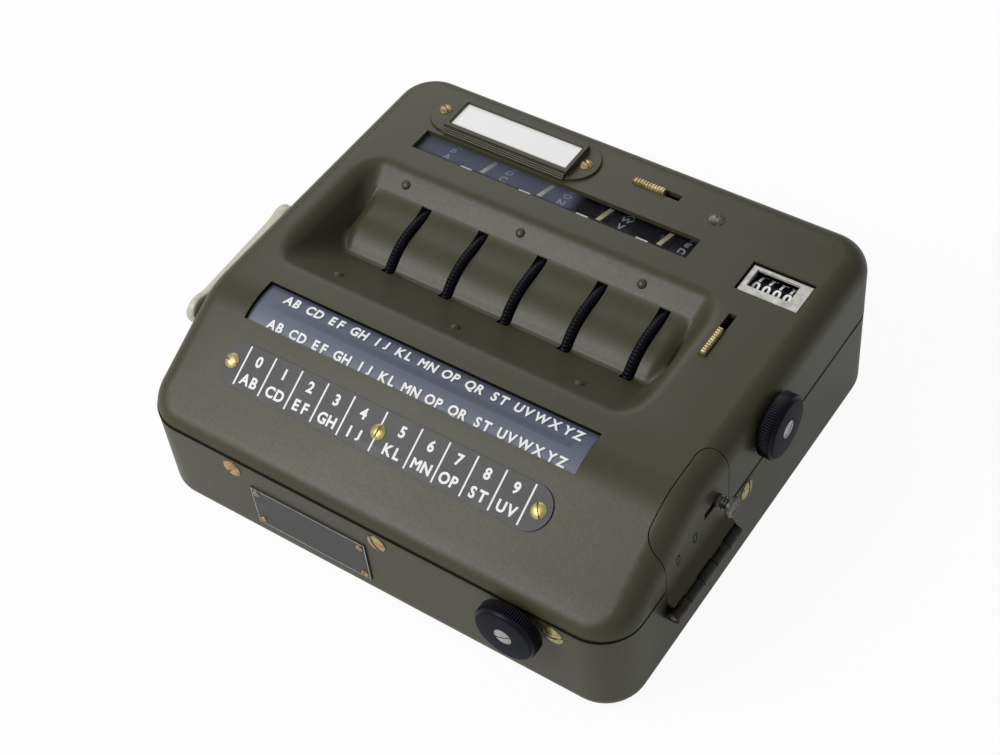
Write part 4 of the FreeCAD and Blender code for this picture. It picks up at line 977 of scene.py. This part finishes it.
class MACHINE_OT_display(bpy.types.Operator):
    """Curved pane with two rows of letter pairs over the plate."""

    bl_idname = "machine.display"
    bl_label = "Curved display"

    def execute(self, context):
        def layer(upper, lower):
            """A section between two lifts off the surface, from the window's rear to its front."""
            along = np.linspace(along_case(-27.0), along_case(-40.1), 28)
            return np.concatenate([np.stack(over_case(along, upper), axis=1),
                                   np.stack(over_case(along[::-1], lower), axis=1)])

        make("display_pane", [swept(layer(-1.2, -1.56), -62.2, 48.4)], "curved_pane", "case",
             "clear_pane", "display_window", crease=TURNED_CREASE)
        # Black sides and rear edge inside the window's opening: painted shade in the gap round the
        # pane.
        side = layer(-0.12, -1.19)
        parts = [swept(side, -62.29, -62.17), swept(side, 48.37, 48.49),
                 block((-62.29, -27.02, 54.31), (48.49, -26.91, 55.38))]
        make("display_lining", parts, "shadow_black", "case", "black_metal",
             crease=TURNED_CREASE)
        dress(NODES["letter_plate"], "letter_plate_paint")
        first_x, spacing, rows, lift = -52.4, 7.82, (-29.6, -38.5), -1.17
        pairs = [pair_of(pair, sizes().letter_height / MM, 0.08) for pair in PAIRS]
        parts = [on_case(pair, first_x + spacing * k, y, lift)
                 for y in rows for k, pair in enumerate(pairs)]
        make("display_letters", parts, "white_print", "case", "white_card")
        return {"FINISHED"}


class MACHINE_OT_strip(bpy.types.Operator):
    """Strip on the slope: digits over letter pairs, between white lines."""

    bl_idname = "machine.strip"
    bl_label = "Code strip"

    def execute(self, context):
        painted_copy("code_strip", "code_strip_plate", "dark_plate", "case", "dark_paint",
                     edge=0.12)
        height, lift = sizes().strip_height / MM, 0.5
        digit_y, pair_y, line_y = -48.5, -53.8, -51.0
        # The two pairs beside the middle screw stand further from it.
        aside = {4: -0.8, 5: 0.9}
        parts = []
        for k, pair in enumerate(STRIP_PAIRS):
            x = (STRIP_LINES[k] + STRIP_LINES[k + 1]) / 2 + aside.get(k, 0)
            parts += [on_case(pair_of(str(k), height), x, digit_y, lift),
                      on_case(pair_of(pair, height), x, pair_y, lift)]
        line = block((-0.26, -5.9, -0.03), (0.26, 5.9, 0.03))
        parts += [on_case(line, x, line_y, lift) for x in STRIP_LINES]
        make("strip_print", parts, "white_print", "case", "white_card")
        return {"FINISHED"}


class MACHINE_OT_label(bpy.types.Operator):
    """Label frame with fine ridges and its white card."""

    bl_idname = "machine.label"
    bl_label = "Label"

    def execute(self, context):
        painted_copy("label_frame", "label_frame_painted", "olive_paint", "case", "label_metal",
                     edge=0.25)
        # Steps down to the front, each with a small slanting edge.
        step, rear, foot = 0.45, 49.6, TOP + 0.7
        parts = []
        for k in range(3):
            y, z = 48.9 - step * k, TOP + 1.9 - step * k
            parts.append(swept([(rear, foot), (y - 0.25, foot), (y - 0.25, z - 0.12),
                                (y - 0.12, z), (rear, z)], -55.3, -11.9))
        make("label_frame_ridges", parts, "olive_paint", "case", "label_metal", crease=35)
        painted_copy("label_card", "label_card_white", "white_card", "case", "white_card",
                     edge=0.1)
        return {"FINISHED"}


class MACHINE_OT_counter(bpy.types.Operator):
    """Counter: plated bezel, a black band of painted shade in the gap round it, and four number
    wheels with digits.
    """

    bl_idname = "machine.counter"
    bl_label = "Counter"

    def execute(self, context):
        painted_copy("counter_frame", "counter_bezel", "silver_metal", "case", "steel",
                     edge=0.15)
        # A black band of painted shade in the gap round the bezel.
        parts = [block((*low, TOP - 1.5), (*high, TOP - 0.55))
                 for low, high in rim_bars((52.42, 35.32), (71.98, 46.98), 0.46)]
        make("counter_gasket", parts, "shadow_black", "case", "black_metal")
        # The digits' height and depth, the wheels' axle and radius, and their places along X.
        size, axle, radius, first_x, spacing = (3.6, 0.12), (42.0, TOP - 9.4), 6.6, 56.2, 3.25
        # The noughts stand a little towards the front.
        reading = math.radians(99)
        for k in range(4):
            dress(NODES["number_wheel_%d" % (k + 1)], "black_finish")
            printed_drum("number_print_%d" % (k + 1), "0123456789", size, first_x + spacing * k,
                         axle, radius, reading, "white_print", "digit_%d" % (k + 1))
        dress(NODES["counter_axle"], "steel_metal")
        return {"FINISHED"}


class MACHINE_OT_sliders(bpy.types.Operator):
    """Sliders: half-round brass bars with ridges across them.

    At u from -0.5 to 0.5 along the bar and v round it, the section is (-1.08 s cos v,
    0.95 s sin v), a little flattened, with s = 1 - 0.2 |cos(11 pi u)|^3. It is smaller at the
    very ends.
    """

    bl_idname = "machine.sliders"
    bl_label = "Sliders"

    def execute(self, context):
        count, around, foot = 121, 13, TOP + 0.3
        u = np.linspace(-0.5, 0.5, count)[:, None]
        v = np.linspace(0, np.pi, around - 2)
        ends = np.where(np.abs(u) > 0.495, 0.86, 1)
        ridge = (1 - 0.2 * np.abs(np.cos(u * np.pi * 11)) ** 3) * ends
        for node, body, along, material in (("slider_across", "across", 0, "slider_brass"),
                                            ("slider_along", "along", 1, "brass_metal")):
            low, high = (np.array(corner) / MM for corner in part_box(node))
            middle = (low + high) / 2
            points = np.empty((count, around, 3))
            points[:, 1:-1, along] = middle[along] + u * (high - low)[along]
            points[:, 1:-1, 1 - along] = middle[1 - along] - 1.08 * ridge * np.cos(v)
            points[:, 1:-1, 2] = foot + 0.95 * ridge * np.clip(np.sin(v) * 1.25, 0, 1)
            points[:, [0, -1]] = points[:, [1, -2]]
            points[:, [0, -1], 2] = foot - 0.08
            vertices, faces = grid(points)
            index = np.arange(count * around).reshape(count, around)
            below = np.concatenate([index[:, 0], index[-1, 1:], index[-2::-1, -1],
                                    index[0, -2:0:-1]])
            faces += [below.tolist(), index[0].tolist(), index[-1].tolist()]
            neck_low, neck_high = middle - 0.95, middle + 0.95
            neck_low[along], neck_high[along] = low[along] + 0.1, high[along] - 0.1
            neck_low[2], neck_high[2] = low[2], foot
            make(node + "_knurled", [(vertices, faces), block(neck_low, neck_high)], material,
                 body, "brass", node, crease=TURNED_CREASE)
        return {"FINISHED"}


class MACHINE_OT_knobs(bpy.types.Operator):
    """Front and side knobs: ridged rims, flat faces and slotted centres."""

    bl_idname = "machine.knobs"
    bl_label = "Knobs"

    def execute(self, context):
        teeth = sizes().knob_teeth
        rim = [(0.0, 3.0), (0.0, 8.6), (0.3, 9.2), (0.6, 9.5), (3.7, 9.5), (3.9, 9.42),
               (4.0, 9.15), (4.6, 8.75)]
        face = [(4.6, 8.75), (4.82, 8.5), (4.9, 8.1), (4.9, 2.9), (4.65, 2.75), (4.65, 0.0)]
        rim = lathe(rim, teeth * 8, cuts(teeth, depth=0.4, start=9.15, over=0.3, power=1.2))
        face = lathe(face, teeth * 8)
        centre = screw_head(2.7, 0.4, slot_width=0.55, slot_depth=0.4)
        for node, body, base, axis in (
                ("front_knob", "front_turn", (49.2, FRONT - 1.8, 28.0), (0, -1, 0)),
                ("side_knob", "side_turn", (SIDE + 0.7, 6.0, 45.2), (1, 0, 0))):
            make(node + "_rim", [turned_to(rim, base, axis)], "black_finish", body,
                 "black_metal", node, crease=45)
            make(node + "_face", [turned_to(face, base, axis)], "knob_face", body,
                 "black_metal", crease=35)
            tip = np.array(base) + np.array(axis) * 4.85
            make(node + "_centre", [turned_to(centre, tip, axis, 0.5)], "steel_metal", body,
                 "steel", node + "_screw", crease=38)
        return {"FINISHED"}


class MACHINE_OT_lever(bpy.types.Operator):
    """Cream lever: a bar with two round ends, waisted between them and thinner towards its pad.

    At each place along it the half height is the greater of the waist and the two discs,
    sqrt(r^2 - d^2) at distance d from a disc's centre. The section is a rounded rectangle.
    """

    bl_idname = "machine.lever"
    bl_label = "Lever"

    def execute(self, context):
        # The hub at the pivot and the pad at the end: place along Y and radius.
        (hub, hub_radius), (pad, pad_radius) = ends = ((3.0, 4.75), (-38.0, 4.55))
        waist, inner_x, middle_z = 3.5, -81.5, 43.4
        v = np.linspace(hub + hub_radius, pad - pad_radius, 110)
        discs = [np.sqrt(np.maximum(r ** 2 - (v - y) ** 2, 0)) for y, r in ends]
        half = np.maximum(np.maximum(*discs), np.where((v < hub) & (v > pad), waist, 0))
        # A running mean of eleven places softens the necks, but not the ends.
        soft = np.convolve(np.pad(half, 5, "edge"), np.ones(11) / 11, "valid")
        half = np.where((v < hub - 2) & (v > pad + 2), np.minimum(soft, 4.5), half)
        thick = 3.2 + 1.8 * np.clip((v - pad) / 38.0, 0, 1)
        turn = np.linspace(0, 2 * np.pi, 33)[:-1]
        across = np.sign(np.cos(turn)) * np.abs(np.cos(turn)) ** 0.5
        up = np.sign(np.sin(turn)) * np.abs(np.sin(turn)) ** 0.7
        slim = np.minimum(1, half / 2.0)
        points = np.empty((len(v), len(turn), 3))
        points[:, :, 0] = inner_x - (thick / 2)[:, None] * (1 - across * slim[:, None])
        points[:, :, 1] = v[:, None]
        points[:, :, 2] = middle_z + half[:, None] * up
        make("lever_moulding", [grid(points, closed=True)], "cream_plastic", "lever",
             "cream_plastic", "operating_lever", crease=60)
        return {"FINISHED"}


class MACHINE_OT_door(bpy.types.Operator):
    """Door fittings: latch, hinge and rings of painted shade round the two flush studs."""

    bl_idname = "machine.door"
    bl_label = "Door fittings"

    def execute(self, context):
        stem = [(-3.0, 1.2), (0.2, 1.2), (0.2, 1.9), (0.3, 2.0), (1.0, 2.0), (1.15, 1.85),
                (1.2, 1.5), (1.7, 1.5), (1.75, 1.9), (2.2, 1.9), (2.25, 1.45), (3.0, 1.45),
                (3.5, 2.5), (3.8, 3.0), (4.8, 3.0), (5.0, 2.9), (5.2, 2.6), (5.2, 2.2),
                (5.05, 2.1), (5.05, 0.0)]
        make("latch_turned", [turned_to(lathe(stem, 40), (SIDE, -21.9, 42.4), (1, 0, 0))],
             "latch_metal", "latch", "steel", "latch_knob", crease=35)
        dress(NODES["hinge_lugs"], "dark_metal")
        dress(NODES["hinge_pin"], "brass_metal")
        # The door's own hinge barrels are dark: every face near the hinge's axis.
        door = bpy.data.objects["card_door_painted"].data
        door.materials.append(finish("dark_metal"))
        centres = np.empty(len(door.polygons) * 3)
        door.polygons.foreach_get("center", centres)
        hinge, hinge_radius = (83.0, 0, 25.2), 1.85
        away = centres.reshape(-1, 3) / MM - hinge
        barrels = np.hypot(away[:, 0], away[:, 2]) < hinge_radius
        door.polygons.foreach_set("material_index", barrels.astype(int))
        # Round each flush stud a black ridge of painted shade, as (size, height), carried round an
        # upright oval.
        oval = np.concatenate([arc((0, 0.9), 0.75, 0, 180), arc((0, -0.9), 0.75, 180, 360)])
        ridge = np.array([(0.94, -0.1), (0.94, 0.08), (1.0, 0.1), (1.12, 0.08), (1.2, -0.1)])
        parts = []
        for place in ((-33.3, 39.3), (-41.8, 39.7)):
            points = np.empty((len(ridge), len(oval), 3))
            points[:, :, 0] = SIDE + ridge[:, 1:]
            points[:, :, 1:] = oval * ridge[:, :1, None] + place
            parts.append(grid(points, closed=True))
        make("door_studs", parts, "shadow_black", "door", "brass", crease=TURNED_CREASE)
        return {"FINISHED"}


class MACHINE_OT_stage(bpy.types.Operator):
    """Stage: pale floor, soft lights and the camera."""

    bl_idname = "machine.stage"
    bl_label = "Stage"

    def execute(self, context):
        scene = context.scene
        stage = scene.machine_stage
        scene.view_settings.view_transform = "Standard"
        reach = 3.0
        mesh = bpy.data.meshes.new("floor")
        mesh.from_pydata([(-reach, -reach, 0), (reach, -reach, 0), (reach, reach, 0),
                          (-reach, reach, 0)], [], [(0, 1, 2, 3)])
        mesh.materials.append(finish("floor_paper"))
        floor = bpy.data.objects.new("floor", mesh)
        context.collection.objects.link(floor)
        # The surround lights evenly, and the camera sees it white.
        world = bpy.data.worlds.new("surround")
        world.use_nodes = True
        scene.world = world
        tree = world.node_tree
        seen = add_node(tree, "LightPath", output="Is Camera Ray")
        lit = seen * (1 - stage.world) + stage.world
        background = tree.nodes["Background"]
        background.inputs["Color"].default_value = (1, 1, 1, 1)
        tree.links.new(lit.socket, background.inputs["Strength"])
        for name, place, aim, size, power in (
                ("key_light", (-0.50, -0.70, 0.86), (0, 0, 0.03), 0.6, stage.key_power),
                ("fill_light", (-0.42, 0.48, 0.52), (0, 0, 0.02), 0.5, stage.fill_power)):
            lamp = bpy.data.lights.new(name, "AREA")
            lamp.size = size
            lamp.energy = power
            holder = bpy.data.objects.new(name, lamp)
            holder.location = place
            towards = Vector(aim) - Vector(place)
            holder.rotation_euler = towards.to_track_quat("-Z", "Y").to_euler()
            context.collection.objects.link(holder)
        # The camera's place, and its turn as an axis times an angle. Its picture's rows are the
        # right, down and ahead directions.
        place = Vector((0.22564, -0.28007, 0.43862))
        turn = Vector((2.3652, 0.6842, -0.3643))
        right, down, ahead = Quaternion(turn.normalized(), turn.length).to_matrix()
        axes = Matrix((right, -down, -ahead)).transposed().to_4x4()
        eye = bpy.data.cameras.new("camera")
        eye.lens = 68.0
        eye.sensor_width = 36.0
        eye.clip_start = 0.01
        holder = bpy.data.objects.new("camera", eye)
        holder.matrix_world = Matrix.Translation(place) @ axes
        context.collection.objects.link(holder)
        scene.camera = holder
        return {"FINISHED"}


OPERATORS = [
    MACHINE_OT_stage, MACHINE_OT_case, MACHINE_OT_rivets, MACHINE_OT_screws, MACHINE_OT_rings,
    MACHINE_OT_drums, MACHINE_OT_display, MACHINE_OT_strip, MACHINE_OT_label, MACHINE_OT_counter,
    MACHINE_OT_sliders, MACHINE_OT_knobs, MACHINE_OT_lever, MACHINE_OT_door,
]


class MACHINE_PT_panel(bpy.types.Panel):
    """Buttons for each piece of the machine."""

    bl_label = "Cipher Machine"
    bl_idname = "MACHINE_PT_panel"
    bl_space_type = "VIEW_3D"
    bl_region_type = "UI"
    bl_category = "Cipher Machine"

    def draw(self, context):
        for group in GROUPS:
            settings = getattr(context.scene, group)
            for key in settings.__annotations__:
                self.layout.prop(settings, key)
        for operator in OPERATORS:
            self.layout.operator(operator.bl_idname)


GROUPS = {"machine_paint": MachinePaint, "machine_sizes": MachineSizes,
          "machine_stage": MachineStage}


def register():
    for group, kind in GROUPS.items():
        bpy.utils.register_class(kind)
        setattr(bpy.types.Scene, group, bpy.props.PointerProperty(type=kind))
    for kind in OPERATORS + [MACHINE_PT_panel]:
        bpy.utils.register_class(kind)


def unregister():
    for kind in reversed(OPERATORS + [MACHINE_PT_panel]):
        bpy.utils.unregister_class(kind)
    for group, kind in GROUPS.items():
        delattr(bpy.types.Scene, group)
        bpy.utils.unregister_class(kind)


def main():
    register()
    for operator in OPERATORS:
        group, action = operator.bl_idname.split(".")
        getattr(getattr(bpy.ops, group), action)()


if __name__ == "__main__":
    main()
